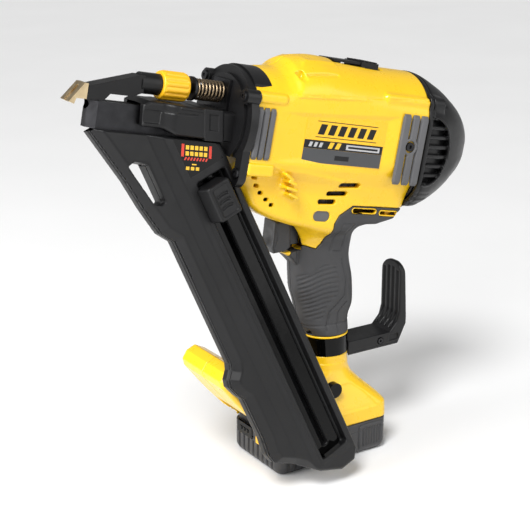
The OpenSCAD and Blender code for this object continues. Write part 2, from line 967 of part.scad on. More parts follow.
module battery_button() {
    color("gold") block([-59.5, -11.7, 20.2], [-57.02, -2.2, 30.9]);
}

module battery_gauge() {
    color("black") {
        block([-59, 5, 20.2], [-57.02, 28.6, 30.9]);
        for (y = [11, 16, 21]) block([-59.6, y, 24], [-58.5, y + 3, 27]);
    }
}

housing_left();
housing_right();
grip_left();
grip_right();
front_pads();
rear_pads();
label_plates();
front_flange();
flange_screws();
rear_cap();
rear_cover();
housing_screws();
drive_chassis();
motor_stator();
flywheel_axle();
flywheel_bearings();
guide_rods();
return_springs();
driver_bumper();
actuator_solenoid();
control_board();
trigger_switch();
terminal_block();
wiring_harness();
nose_body();
nose_cover();
nose_clip();
spring_bracket();
magazine_left();
magazine_right();
magazine_wing();
magazine_rail();
track_stop();
magazine_bracket();
magazine_bolts();
lever_pin();
flywheel();
driver_blade();
driver_carriage();
pinch_arm();
pinch_roller();
solenoid_plunger();
trigger();
lock_off_button();
release_lever();
contact_rod();
depth_wheel();
contact_arm();
contact_foot();
contact_spring();
pusher();
pusher_knob();
rafter_hook();
hook_collar();
hook_screw();
battery_case();
battery_top();
battery_cells();
battery_button();
battery_gauge();
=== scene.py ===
"""Cordless framing nailer: the visual model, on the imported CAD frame."""
import functools
import json
import math

import bmesh
import bpy
import numpy as np
from mathutils import Matrix, Vector


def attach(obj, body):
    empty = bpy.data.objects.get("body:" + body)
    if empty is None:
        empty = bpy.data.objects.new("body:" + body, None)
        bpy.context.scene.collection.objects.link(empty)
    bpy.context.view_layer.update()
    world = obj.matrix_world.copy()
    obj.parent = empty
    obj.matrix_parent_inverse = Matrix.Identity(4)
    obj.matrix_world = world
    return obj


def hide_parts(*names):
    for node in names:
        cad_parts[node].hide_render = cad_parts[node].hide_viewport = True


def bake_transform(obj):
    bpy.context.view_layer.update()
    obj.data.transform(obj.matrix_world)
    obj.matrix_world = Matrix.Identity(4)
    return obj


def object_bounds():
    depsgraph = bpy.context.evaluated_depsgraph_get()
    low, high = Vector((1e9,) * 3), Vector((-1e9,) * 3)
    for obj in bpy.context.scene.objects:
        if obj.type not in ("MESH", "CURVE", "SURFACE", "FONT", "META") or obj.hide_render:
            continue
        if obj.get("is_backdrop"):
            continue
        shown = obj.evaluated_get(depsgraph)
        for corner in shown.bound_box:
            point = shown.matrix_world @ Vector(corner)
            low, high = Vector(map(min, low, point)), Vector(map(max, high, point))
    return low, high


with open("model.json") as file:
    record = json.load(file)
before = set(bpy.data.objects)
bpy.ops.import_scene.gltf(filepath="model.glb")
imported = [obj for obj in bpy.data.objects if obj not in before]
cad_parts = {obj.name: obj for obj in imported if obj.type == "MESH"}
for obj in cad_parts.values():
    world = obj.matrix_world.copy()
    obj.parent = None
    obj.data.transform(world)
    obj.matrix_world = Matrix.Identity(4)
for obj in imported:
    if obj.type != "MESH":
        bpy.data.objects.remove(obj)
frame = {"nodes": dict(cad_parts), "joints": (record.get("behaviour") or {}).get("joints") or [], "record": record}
cad_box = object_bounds()

MM = 0.001
CELL = 1.0       # the grid that the large shapes are skinned on, in mm
FINE = 0.7       # the same for small shapes

# ---- Frames, from the record's joints ----

joints = {j["name"]: j for j in frame["joints"]}
FLYWHEEL_U, FLYWHEEL_W = 0.070, -0.0305     # the flywheel's axle, in the drive frame

drive_x = -Vector(joints["driver_stroke"]["axis"])
drive_z = drive_x.cross(Vector((0, 1, 0)))
mag_down = Vector(joints["pusher_slide"]["axis"])
axle = Vector(joints["flywheel_spin"]["pos_m"])
drive_origin = axle - FLYWHEEL_U * drive_x - FLYWHEEL_W * drive_z


def frame_of(origin, x, y):
    """The matrix of a frame, from its origin and its x and y directions."""
    rows = Matrix((x, y, x.cross(y))).transposed().to_4x4()
    return Matrix.Translation(origin) @ rows


side_y = Vector((0, 1, 0))
mag_across = drive_x.cross(mag_down).normalized()
ROW = Matrix.Identity(4)
DRIVE = frame_of(drive_origin, drive_x, side_y)
MAGAZINE = frame_of(drive_origin, mag_across.cross(-mag_down), mag_across)


def through(m, x, y, z):
    """A matrix applied to places in millimetres."""
    return tuple(r[3] / MM + r[0] * x + r[1] * y + r[2] * z for r in m[:3])


def row_of_drive(u, v, w):
    """Places in the drive frame, given in the frame of the whole object."""
    return through(DRIVE, u, v, w)


# ---- Distance shapes, in millimetres ----

def span(x, low, high):
    """Distance from a slab between two planes."""
    return np.abs(x - (low + high) / 2) - (high - low) / 2


def both(a, b, r=0.0):
    """What two shapes share, with the edge between them rounded to r."""
    if r == 0:
        return np.maximum(a, b)
    a, b = a + r, b + r
    return np.minimum(np.maximum(a, b), 0) + np.hypot(np.maximum(a, 0), np.maximum(b, 0)) - r


def either(a, b, r=0.0):
    """Two shapes joined, with a fillet of r between them."""
    return -both(-a, -b, r)


def union(*shapes):
    """Several shapes joined with sharp edges."""
    return functools.reduce(np.minimum, shapes)


def overlap(*shapes):
    """What several shapes share, with sharp edges."""
    return functools.reduce(np.maximum, shapes)


def cut(a, b, r=0.0):
    """Shape a less shape b."""
    return both(a, -b, r)


def box(p, low, high, r=0.0):
    """A box with its edges rounded to r."""
    q = [span(c, lo + r, hi - r) for c, lo, hi in zip(p, low, high)]
    out = np.sqrt(sum(np.maximum(c, 0) ** 2 for c in q))
    return out + np.minimum(np.maximum(np.maximum(q[0], q[1]), q[2]), 0) - r


def rect(x, y, low, high, r=0.0):
    """A flat rectangle with its corners rounded to r."""
    return both(span(x, low[0], high[0]), span(y, low[1], high[1]), r)


def outline(x, y, points, r=0.0):
    """A closed flat outline through the points, grown outwards by r."""
    best = np.full(np.shape(x), 1e9)
    inside = np.zeros(np.shape(x), bool)
    for (x0, y0), (x1, y1) in zip(points, points[1:] + points[:1]):
        ex, ey = x1 - x0, y1 - y0
        t = np.clip(((x - x0) * ex + (y - y0) * ey) / (ex * ex + ey * ey), 0, 1)
        best = np.minimum(best, (x - x0 - ex * t) ** 2 + (y - y0 - ey * t) ** 2)
        crosses = (y0 > y) != (y1 > y)
        if ey != 0:
            inside ^= crosses & (x < x0 + ex * (y - y0) / ey)
    return np.where(inside, -1, 1) * np.sqrt(best) - r


def stadium(x, y, a, b, r):
    """A flat slot of radius r from point a to point b."""
    ex, ey = b[0] - a[0], b[1] - a[1]
    t = np.clip(((x - a[0]) * ex + (y - a[1]) * ey) / (ex * ex + ey * ey), 0, 1)
    return np.hypot(x - a[0] - ex * t, y - a[1] - ey * t) - r


def stripes(x, pitch, half):
    """Evenly spaced stripes, each reaching half to both sides of its middle."""
    return np.abs((x / pitch) % 1 - 0.5) * pitch - half


def section(x, y, front, rear, half, corner):
    """A flat rectangle from front to rear and half to each side, with round corners."""
    qx = np.abs(x - (front + rear) / 2) - (rear - front) / 2 + corner
    qy = np.abs(y) - half + corner
    return np.minimum(np.maximum(qx, qy), 0) + np.hypot(np.maximum(qx, 0), np.maximum(qy, 0)) - corner


def channel(x, y, points, r):
    """Flat slots of radius r from each point to the next."""
    return union(*[stadium(x, y, a, b, r) for a, b in zip(points, points[1:])])


def ramp(x, start, end):
    """0 before start and 1 after end, with a smooth rise between."""
    t = np.clip((x - start) / (end - start), 0, 1)
    return t * t * (3 - 2 * t)


def spline(x, xs, ys):
    """A smooth curve through the points, level beyond its ends."""
    xs, ys = np.array(xs, float), np.array(ys, float)
    slopes = np.diff(ys) / np.diff(xs)
    tangents = np.zeros(len(xs))
    same_way = slopes[1:] * slopes[:-1] > 0
    mean = 2 * slopes[1:] * slopes[:-1] / np.where(same_way, slopes[1:] + slopes[:-1], 1)
    tangents[1:-1] = np.where(same_way, mean, 0)
    x = np.clip(x, xs[0], xs[-1])
    i = np.clip(np.searchsorted(xs, x) - 1, 0, len(xs) - 2)
    h = xs[i + 1] - xs[i]
    t = (x - xs[i]) / h
    a = (1 + 2 * t) * (1 - t) ** 2 * ys[i] + t * t * (3 - 2 * t) * ys[i + 1]
    return a + h * t * (1 - t) * ((1 - t) * tangents[i] - t * tangents[i + 1])


# ---- Skinning ----

def sampled(field, axes, step):
    """Distances on a grid, worked out only where the surface is near."""
    block = 4
    centres = [a[::block] + 1.5 * step for a in axes]
    rough = field(*np.meshgrid(*centres, indexing="ij"))
    near = np.abs(rough) < 6 * step
    shape = tuple(len(a) for a in axes)

    def spread(values):
        for axis in range(3):
            values = np.repeat(values, block, axis)
        return values[: shape[0], : shape[1], : shape[2]]

    values = spread(rough).astype(np.float32)
    i, j, k = np.nonzero(spread(near))
    values[i, j, k] = field(axes[0][i], axes[1][j], axes[2][k])
    return values


def cell_points(values, axes, step):
    """One point in each cell that the surface crosses, and the cells' numbering."""
    inside = values < 0
    n = [s - 1 for s in values.shape]
    corners = [(i, j, k) for i in (0, 1) for j in (0, 1) for k in (0, 1)]
    count = sum(inside[i:n[0] + i, j:n[1] + j, k:n[2] + k].astype(np.int8) for i, j, k in corners)
    active = (count > 0) & (count < 8)
    cells = np.argwhere(active)
    number = np.full(active.shape, -1, np.int64)
    number[active] = np.arange(len(cells))
    d = [values[cells[:, 0] + i, cells[:, 1] + j, cells[:, 2] + k] for i, j, k in corners]
    total = np.zeros((len(cells), 3))
    hits = np.zeros(len(cells))
    for a in range(8):
        for b in range(a + 1, 8):
            if sum(p != q for p, q in zip(corners[a], corners[b])) != 1:
                continue
            crossed = (d[a] < 0) != (d[b] < 0)
            t = np.where(crossed, d[a] / np.where(crossed, d[a] - d[b], 1), 0)
            place = np.array(corners[a]) + t[:, None] * np.subtract(corners[b], corners[a])
            total += np.where(crossed[:, None], place, 0)
            hits += crossed
    start = np.array([a[0] for a in axes])
    return start + (cells + total / hits[:, None]) * step, number, inside


def cell_faces(number, inside):
    """A quad round each grid edge that the surface crosses."""
    quads = []
    for axis in range(3):
        b, c = (axis + 1) % 3, (axis + 2) % 3
        low = [slice(1, -1)] * 3
        high = [slice(1, -1)] * 3
        low[axis], high[axis] = slice(0, -1), slice(1, None)
        first, second = inside[tuple(low)], inside[tuple(high)]
        at = np.argwhere(first != second) + 1
        at[:, axis] -= 1
        ring = []
        for db, dc in ((0, 0), (-1, 0), (-1, -1), (0, -1)):
            cell = at.copy()
            cell[:, b] += db
            cell[:, c] += dc
            ring.append(number[cell[:, 0], cell[:, 1], cell[:, 2]])
        quad = np.stack(ring, 1)
        flip = ~first[first != second]
        quad[flip] = quad[flip][:, ::-1]
        quads.append(quad)
    return np.concatenate(quads)


def drawn_on(field, points, step):
    """The points, moved onto the surface."""
    small = step * 0.05
    for _ in range(3):
        d = field(*points.T)
        slope = np.empty_like(points)
        for axis in range(3):
            ahead, behind = points.copy(), points.copy()
            ahead[:, axis] += small
            behind[:, axis] -= small
            slope[:, axis] = (field(*ahead.T) - field(*behind.T)) / (2 * small)
        size = np.maximum((slope ** 2).sum(1), 0.2)
        move = slope * (np.clip(d, -step * 0.4, step * 0.4) / size)[:, None]
        points = points - move
    return points


def mesh_of(name, points, faces):
    """A smooth mesh of faces that all have the same number of sides."""
    mesh = bpy.data.meshes.new(name)
    sides = faces.shape[1]
    mesh.vertices.add(len(points))
    mesh.vertices.foreach_set("co", points.astype(np.float32).ravel())
    mesh.loops.add(faces.size)
    mesh.loops.foreach_set("vertex_index", faces.astype(np.int32).ravel())
    mesh.polygons.add(len(faces))
    mesh.polygons.foreach_set("loop_start", np.arange(0, faces.size, sides, dtype=np.int32))
    mesh.polygons.foreach_set("use_smooth", np.ones(len(faces), bool))
    mesh.update(calc_edges=True)
    mesh.validate()
    return mesh


def new_object(name, data):
    """An object in the scene."""
    obj = bpy.data.objects.new(name, data)
    bpy.context.scene.collection.objects.link(obj)
    return obj


def skinned(name, field, low, high, place=ROW, step=CELL):
    """A mesh object of the surface where the field is zero, within the box low to high."""
    axes = [np.arange(lo - 2 * step, hi + 3 * step, step) for lo, hi in zip(low, high)]
    points, number, inside = cell_points(sampled(field, axes, step), axes, step)
    faces = cell_faces(number, inside)
    points = drawn_on(field, points, step)
    mesh = mesh_of(name, points * MM, faces)
    mesh.transform(place)
    return new_object(name, mesh)


def prisms(name, ends, place):
    """An object of flat-faced solids; ends gives the two end outlines of each, in mm."""
    bm = bmesh.new()
    for near, far in ends:
        a = [bm.verts.new(c) for c in near]
        b = [bm.verts.new(c) for c in far]
        bm.faces.new(a)
        bm.faces.new(b[::-1])
        for i in range(len(a)):
            j = (i + 1) % len(a)
            bm.faces.new((a[i], b[i], b[j], a[j]))
    bmesh.ops.recalc_face_normals(bm, faces=bm.faces)
    mesh = bpy.data.meshes.new(name)
    bm.to_mesh(mesh)
    bm.free()
    mesh.transform(Matrix.Scale(MM, 4))
    mesh.transform(place)
    return new_object(name, mesh)


def mirrored(obj, name):
    """A copy of the object on the tool's other side."""
    data = obj.data.copy()
    data.name = name
    data.transform(Matrix.Scale(-1, 4, (0, 1, 0)))
    data.flip_normals()
    return new_object(name, data)


def fitted(obj, body, slot, material, *nodes):
    """Gives a piece its body and its material, and hides the CAD nodes that it stands for."""
    obj.data.materials.clear()
    obj.data.materials.append(material)
    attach(obj, body)
    if nodes:
        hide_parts(*nodes)
    return obj


def fitted_pair(name, field, low, high, material, left_node=None, right_node=None, step=CELL):
    """A piece of the tool's left side, in the drive frame, and its mirror image."""
    left = skinned(name + "_left", field, low, high, DRIVE, step)
    right = mirrored(left, name + "_right")
    for obj, node in ((left, left_node), (right, right_node)):
        fitted(obj, "tool_body", material, materials[material], *([node] if node else []))


# ---- Materials ----

class Shader:
    """A material with a Principled shader, and short ways to add nodes to it."""

    def __init__(self, name, **inputs):
        self.material = bpy.data.materials.new(name)
        self.material.use_nodes = True
        self.tree = self.material.node_tree
        self.shader = self.tree.nodes["Principled BSDF"]
        self.where = self.tree.nodes.new("ShaderNodeTexCoord").outputs["Object"]
        for key, value in inputs.items():
            self.shader.inputs[key.replace("_", " ")].default_value = value

    def node(self, kind, **settings):
        made = self.tree.nodes.new("ShaderNode" + kind)
        for key, value in settings.items():
            setattr(made, key, value)
        return made

    def link(self, a, b):
        self.tree.links.new(a, b)

    def noise(self, size_mm, detail=2.0, rough=0.5):
        """Noise with features about size_mm across."""
        n = self.node("TexNoise")
        n.inputs["Scale"].default_value = 1 / (size_mm * MM)
        n.inputs["Detail"].default_value = detail
        n.inputs["Roughness"].default_value = rough
        self.link(self.where, n.inputs["Vector"])
        return n.outputs["Fac"]

    def between(self, fac, low, high, a, b):
        """A number that runs from a to b as fac runs from low to high."""
        m = self.node("MapRange")
        for key, value in zip(("From Min", "From Max", "To Min", "To Max"), (low, high, a, b)):
            m.inputs[key].default_value = value
        self.link(fac, m.inputs["Value"])
        return m.outputs["Result"]

    def colours(self, fac, *stops):
        """A colour ramp; each stop is (place, (r, g, b))."""
        r = self.node("ValToRGB")
        ramp_ = r.color_ramp
        while len(ramp_.elements) < len(stops):
            ramp_.elements.new(0.5)
        for element, (place, colour) in zip(ramp_.elements, stops):
            element.position = place
            element.color = (*colour, 1)
        self.link(fac, r.inputs["Fac"])
        self.link(r.outputs["Color"], self.shader.inputs["Base Color"])

    def bump(self, height, depth_mm):
        """Raises the surface by height, on top of any bump before it."""
        b = self.node("Bump")
        b.inputs["Distance"].default_value = depth_mm * MM
        self.link(height, b.inputs["Height"])
        before = self.shader.inputs["Normal"]
        if before.is_linked:
            self.link(before.links[0].from_socket, b.inputs["Normal"])
        self.link(b.outputs["Normal"], before)


def shade(colour, factor):
    return tuple(min(c * factor, 1.0) for c in colour)


def moulded(name, colour, rough, grain_mm, grain_depth, coat=0.0, spread=0.12, shine=0.5):
    """Moulded plastic or rubber: a fine grain, faint blotches and a few scuffs."""
    s = Shader(name, Coat_Weight=coat, Coat_Roughness=0.12, Specular_IOR_Level=shine)
    blotch = s.noise(35, 3)
    s.colours(blotch, (0.3, shade(colour, 1 - spread)), (0.7, shade(colour, 1 + spread)))
    scuff = s.noise(9, 6, 0.7)
    s.link(s.between(scuff, 0.35, 0.75, rough - 0.05, rough + 0.09), s.shader.inputs["Roughness"])
    s.bump(s.noise(grain_mm, 2), grain_depth)
    s.bump(s.noise(24, 1), 0.05)
    return s.material


def metal(name, colour, rough, streak_mm=0.6, spread=0.15):
    """Metal with fine scratches and a little staining."""
    s = Shader(name, Metallic=1.0)
    stain = s.noise(12, 4)
    s.colours(stain, (0.35, shade(colour, 1 - spread)), (0.65, shade(colour, 1 + spread)))
    s.link(s.between(s.noise(4, 5), 0.3, 0.7, rough - 0.06, rough + 0.12), s.shader.inputs["Roughness"])
    s.bump(s.noise(streak_mm, 3), 0.02)
    return s.material


def make_materials():
    return {
        "housing_yellow": moulded("housing_yellow", (0.88, 0.54, 0.010), 0.30, 0.5, 0.010, 0.25, 0.03),
        "knob_yellow": moulded("knob_yellow", (0.88, 0.47, 0.010), 0.34, 0.5, 0.015, 0.15, 0.05),
        "label": moulded("label", (0.90, 0.50, 0.010), 0.28, 0.8, 0.004, 0.3, 0.02),
        "grip_rubber": moulded("grip_rubber", (0.045, 0.045, 0.047), 0.55, 0.35, 0.03, shine=0.35),
        "pad_rubber": moulded("pad_rubber", (0.10, 0.10, 0.105), 0.58, 0.35, 0.03),
        "black_plastic": moulded("black_plastic", (0.007, 0.007, 0.0075), 0.40, 0.45, 0.03, shine=0.32),
        "gloss_black": moulded("gloss_black", (0.001, 0.001, 0.001), 0.10, 1.5, 0.001, shine=0.2),
        "cap_black": moulded("cap_black", (0.007, 0.007, 0.0075), 0.33, 0.5, 0.015, shine=0.35),
        "pack_grey": moulded("pack_grey", (0.034, 0.034, 0.036), 0.42, 0.45, 0.03, shine=0.45),
        "wire_red": moulded("wire_red", (0.35, 0.02, 0.015), 0.45, 0.5, 0.01),
        "cell_blue": moulded("cell_blue", (0.04, 0.12, 0.30), 0.35, 2.0, 0.01),
        "board_green": moulded("board_green", (0.015, 0.13, 0.04), 0.35, 1.2, 0.03),
        "dark_steel": metal("dark_steel", (0.045, 0.045, 0.048), 0.38),
        "bright_steel": metal("bright_steel", (0.55, 0.55, 0.57), 0.28),
        "foot_steel": metal("foot_steel", (0.62, 0.49, 0.30), 0.34),
        "spring_steel": metal("spring_steel", (0.36, 0.27, 0.17), 0.30),
        "cast_alloy": metal("cast_alloy", (0.50, 0.51, 0.52), 0.45, 1.0),
        "copper": metal("copper", (0.50, 0.20, 0.07), 0.32),
        "label_white": moulded("label_white", (0.45, 0.45, 0.46), 0.35, 0.8, 0.004),
        "label_red": moulded("label_red", (0.62, 0.035, 0.015), 0.35, 0.8, 0.004),
        "label_yellow": moulded("label_yellow", (0.80, 0.48, 0.02), 0.35, 0.8, 0.004),
        "panel_gray": moulded("panel_gray", (0.055, 0.057, 0.06), 0.45, 0.5, 0.02),
        "trigger_gray": moulded("trigger_gray", (0.030, 0.030, 0.032), 0.45, 0.5, 0.02),
    }


materials = make_materials()


def dress_frame():
    """Each CAD node that stays gets its slot's material, and small bevels on its edges."""
    slots = {p["node"]: p["material_slot"] for p in frame["record"]["subparts"]}
    for name, obj in frame["nodes"].items():
        obj.data.materials.clear()
        obj.data.materials.append(materials[slots[name]])
        bevel = obj.modifiers.new("edges", "BEVEL")
        bevel.width = 0.35 * MM
        bevel.segments = 2
        bevel.limit_method = "ANGLE"
        bevel.angle_limit = math.radians(35)
        bevel.harden_normals = False


# ---- Housing ----

BODY_START, BODY_END = 2, 172
FRONT_HALF, REAR_HALF = 37.5, 43.5
ROOF_R = 43.5
CROWN_U = [2, 21, 31, 37, 43.5, 56, 70, 84, 140, 172]
CROWN_W = [41.5, 44.7, 46, 49, 54.5, 57.6, 59, 58.6, 56.8, 57]
CREST = [(44, 44), (50, 53.4), (54, 55.6), (82, 56), (85, 50), (90, 44), (60, 30)]
BELLY = [(8, -40), (11, -55), (18, -65), (27, -70.5), (41, -75), (62, -79), (100, -84), (118, -80),
         (127, -75), (149, -73.5), (166, -68), (171, -60), (171, -40)]
SWOOSH = [(26, -30), (33, -33), (51.8, -51.6), (64.4, -58.5), (79.4, -58.5), (92.9, -50.8),
          (103.5, -36.5), (60, -31)]
DASHES = [((38, -35), (45, -39)), ((42.8, -40.5), (49.5, -42.5)), ((42.5, -46), (51.5, -47.5)),
          ((45.9, -51), (54, -54))]
FINGER_X, FINGER_Z = -57, 207       # the middle of the trigger's curved face
TRIGGER = [(-46.8, 197), (-44.9, 191.7), (-33, 191.7), (-28.1, 195), (-28.1, 219.3), (-43.8, 219.3)]
VENT_SLOTS = [((99, -41.5), (117, -40.5)), ((90, -49.5), (107, -48.5)), ((83, -57), (97, -56.2))]
SLOT_R = 2.1
SMALL_VENTS = [(17, -41), (20.5, -48), (25, -53.5), (31, -58.5), (36.5, -62.5)]
TRIM_SLOTS = [((120, -62.4), (141.5, -62.2)), ((149.5, -63), (165, -63))]
# Side view of the rubber's zone, in the row frame
RUBBER = [(-60, 110.4), (-60, 186), (-30, 187), (-24, 195), (-17, 195.5), (-8, 192), (-3, 197),
          (-0.5, 206), (1.5, 216), (6, 222), (20, 228.3), (75, 217.8), (90, 200), (90, 110.4)]
NECK_X = 14             # the middle of the round neck under the handle, which the hook turns about
GRIP_Z = [98, 110, 124, 138, 158, 182, 196, 212, 235]
GRIP_FRONT = [-6.5, -7, -15.5, -17, -22, -23, -22.5, -22, -22]
GRIP_REAR = [34.5, 34, 32.5, 35.3, 34.2, 30.8, 32, 36, 40]
GRIP_HALF = [20.5, 20.4, 18, 19.5, 20.5, 19.5, 19.5, 21, 22]
GRIP_CORNER = [20.4, 20, 15, 14, 14.5, 14, 12, 10, 10]


def ledge(u):
    """Height of the line under the housing's round roof."""
    return 26.2 + 0.066 * (u - 30)


def lower_ledge(u):
    """Height of the line where the housing's side tucks in."""
    return -28 - 0.1 * np.maximum(u - 24, 0)


def side_at(u):
    """Half the housing's width."""
    return FRONT_HALF + (REAR_HALF - FRONT_HALF) * np.clip(u / BODY_END, 0, 1)


def barrel_core(u, v, w):
    """The barrel's roof, its half width, and its tucked-in underside."""
    side = np.abs(v)
    half = side_at(u)
    centre = spline(u, CROWN_U, CROWN_W) - ROOF_R
    roof = np.where(w > centre, np.hypot(v, w - centre) - ROOF_R, side - ROOF_R)
    tuck = both((side - half) * 0.74 + (lower_ledge(u) - w) * 0.67,
                (side - 31) * 0.92 + (-46 - w) * 0.38, 3)
    return roof, half, both(tuck, -64 - w, 3)


def window(u, w):
    """How deep the side is let in round the name plate, in parts of one."""
    left = (u - 25) / 26
    right = (143 - u) / 12
    top = (13.6 + 0.06 * (u - 25) - w) / 3.5
    bottom = (w + 25 + 0.1 * (u - 25)) / 7
    return np.clip(np.minimum(np.minimum(left, right), np.minimum(top, bottom)), 0, 1)


def barrel(u, v, w):
    """The barrel with what is raised or let in on its sides."""
    side = np.abs(v)
    roof, half, tuck = barrel_core(u, v, w)
    wall = half - 1.1 * ramp(ledge(u) - w, 0, 1.2) - 1.6 * window(u, w)
    d = both(both(roof, (side - wall) * 0.9, 1.5), tuck, 2)
    d = d - 1.1 * ramp(-outline(u, w, SWOOSH), -0.5, 3) * ramp(side, 20, 26)
    d = np.minimum(d, box((u, side, w), (2, 10, 18.3), (30, 39.1, 27.4), 3.5))
    d = np.minimum(d, box((u, side, w), (1, 10, -39), (27, 38.6, -28.4), 2.5))
    d = either(d, box((u, side, w), (124, 10, 30.3), (173, 41.2, 38.7), 4), 2)
    crest = both(outline(u, w, CREST), side - 18 - 0.75 * (55.8 - w), 1.5)
    d = either(d, crest, 1.5)
    d = d + 0.7 * ramp(0.6 - np.abs(w - ledge(u) - 1.2), 0, 0.5) * ramp(side, 36, 37) * ramp(u, 30, 34)
    for a, b in DASHES:
        d = np.minimum(d, np.maximum(stadium(u, w, a, b, 1.3), side - 41 - 0.11 * (w + 34)))
    return both(d, span(u, BODY_START, BODY_END), 1.2)


def belly_half(u):
    return spline(u, [8, 20, 45, 100, 170], [22, 26, 29, 30, 30])


def belly(u, v, w):
    return both(outline(u, w, BELLY), np.abs(v) - belly_half(u), 6)


def handle(x, y, z):
    """The handle, narrower towards the fingers."""
    front, rear = spline(z, GRIP_Z, GRIP_FRONT), spline(z, GRIP_Z, GRIP_REAR)
    half, corner = spline(z, GRIP_Z, GRIP_HALF), spline(z, GRIP_Z, GRIP_CORNER)
    narrow = 0.22 * np.clip((front + rear) / 2 - x, 0, 26) * ramp(z, 112, 126) * ramp(-z, -216, -196)
    return both(section(x, y, front, rear, half - narrow, corner), span(z, 108.4, 235), 1)


def trigger_lip(x, y, z):
    shape = outline(x, z, [(-36.5, 191.3), (-22, 191.3), (-22, 179), (-28.6, 186)])
    return both(shape, np.abs(y) - 9.5, 2)


def housing_outside(u, v, w):
    """The whole outside of housing and handle, yellow and rubber together."""
    x, y, z = row_of_drive(u, v, w)
    upper = either(barrel(u, v, w), belly(u, v, w), 5)
    whole = either(upper, handle(x, y, z), 11)
    return either(whole, trigger_lip(x, y, z), 2)


def housing_hollow(u, v, w):
    """The space for the drive, with the shaft down the handle and the trigger's pocket."""
    roof, half, tuck = barrel_core(u, v, w)
    side = np.abs(v)
    rear = overlap(roof, side - half, tuck) + 6.5
    lever_seat = box((u, v, w), (82, -15, 50), (138, 15, 62))
    rear = overlap(rear, -54 - w, 40 - u, -lever_seat)
    front = np.maximum(np.hypot(v, w) - 35, span(u, 5, 60))
    low = np.maximum(box((u, v, w), (26, -27, -67), (158, 27, -45), 4), side - belly_half(u) + 3.4)
    x, y, z = row_of_drive(u, v, w)
    shaft = box((x, y, z), (-8, -9.5, 112), (20, 9.5, 188))
    upper_shaft = box((x, y, z), (-12, -11, 186), (22, 11, 222))
    pocket = box((x, y, z), (-45, -10.2, 190.7), (-10, 10.2, 219.5), 1)
    return union(shaft, upper_shaft, rear, front, low, pocket)


def side_holes(u, v, w):
    """Everything cut into the housing's side."""
    side = np.abs(v)
    holes = stadium(u, w, (83.5, -69), (91.4, -69), 4.4)
    for a, b in VENT_SLOTS:
        holes = np.minimum(holes, stadium(u, w, a, b, SLOT_R))
    for cu, cw in SMALL_VENTS:
        holes = np.minimum(holes, rect(u, w, (cu - 2.1, cw - 1.5), (cu + 2.1, cw + 1.5), 0.5))
    holes = np.maximum(holes, 16 - side)
    hatch = np.maximum(rect(u, w, (139, -55), (159, -47), 1.2), 32 - side)
    facet = np.maximum(outline(u, w, [(48.5, 42.6), (50.5, 52.8), (80, 54.2), (79, 45.9)]), 29 - side)
    screw = np.maximum(np.hypot(u - 44, w - 43.5) - 3.2 - 0.35 * np.maximum(side - 29, 0), 24 - side)
    return union(holes, hatch, facet, screw)


def trim_slots(u, w):
    return union(*[stadium(u, w, a, b, SLOT_R) for a, b in TRIM_SLOTS])


def yellow_shell(u, v, w):
    """The yellow left half: the skin, the core under the rubber, and the slots' rims."""
    x, _, z = row_of_drive(u, v, w)
    outside = housing_outside(u, v, w)
    rims = np.abs(trim_slots(u, w)) - 0.55
    zone = outline(x, z, RUBBER)
    d = both(outside, -zone + 0.25, 0.6)
    d = union(d, overlap(outside - 0.5, rims, 26 - np.abs(v)), overlap(outside + 4.2, zone))
    d = cut(d, side_holes(u, v, w), 0.5)
    d = cut(d, np.maximum(np.hypot(v, w - 20) - 5.5, u - 14))
    d = cut(d, np.maximum(trim_slots(u, w) + 0.5, 24 - np.abs(v)), 0.3)
    d = cut(d, box((u, v, w), (84, -13, 52.3), (136, 13, 75), 1), 1)
    d = cut(d, pads(u, v, w, 0.25, 1.6))
    return np.maximum(cut(d, housing_hollow(u, v, w)), v + 0.06)


def pads(u, v, w, gap, depth):
    """Where the side pads sit, grown by gap and let in by depth."""
    front = rect(u, w, (2.7 - gap, -26 - gap), (20.5 + gap, 15.6 + gap), 1)
    rear = rect(u, w, (144 - gap, -36 - gap), (173 + gap, 24 + gap), 1)
    return np.maximum(np.minimum(front, rear), side_at(u) - depth - np.abs(v))


def rubber_shell(u, v, w):
    """The rubber moulded over the left half."""
    x, y, z = row_of_drive(u, v, w)
    outside = housing_outside(u, v, w)
    zone = outline(x, z, RUBBER)
    swell = 0.4 - grip_pattern(x, y, z)
    d = both(outside - swell, zone + 0.25, 1.0)
    d = cut(d, outside + 4)
    d = cut(d, np.maximum(trim_slots(u, w) - 0.8, 24 - np.abs(v)), 0.3)
    d = cut(d, housing_hollow(u, v, w))
    d = cut(d, box((x, y, z), (-40, -40, 108), (60, 40, 110.5)))
    return np.maximum(d, v + 0.06)


def grip_pattern(x, y, z):
    """Depth of the ribs and channels moulded in the grip."""
    side = ramp(np.abs(y), 6, 11)
    curve = z + 0.012 * (x - 8) ** 2 + 1.5
    panel = outline(x, z, [(-0.7, 177.5), (11, 176.5), (14.5, 161), (13.6, 148), (3.5, 139.5),
                           (0.5, 126), (-19, 129), (-30, 140), (-30, 166), (-13, 171)])
    ribs = 0.9 * (0.5 - 0.5 * np.cos(2 * np.pi * curve / 4.3)) * ramp(-panel, -0.3, 1.2)
    loop = channel(x, z, [(17, 180), (21.5, 162), (20.5, 146), (6, 133), (3.5, 116)], 0.7)
    inner = channel(x, z, [(14, 113), (15, 132), (23, 140)], 0.5)
    top = np.abs(outline(x, z, [(9.8, 214), (22, 212), (15.5, 187), (4, 189)])) - 0.3
    lines = union(loop, inner, top)
    collar = 0.8 * ramp(1.2 - np.abs(z - 121), 0, 1.2)
    return side * (ribs + 1.1 * ramp(-lines, -0.8, 0.5)) + collar * ramp(x, -30, -28)


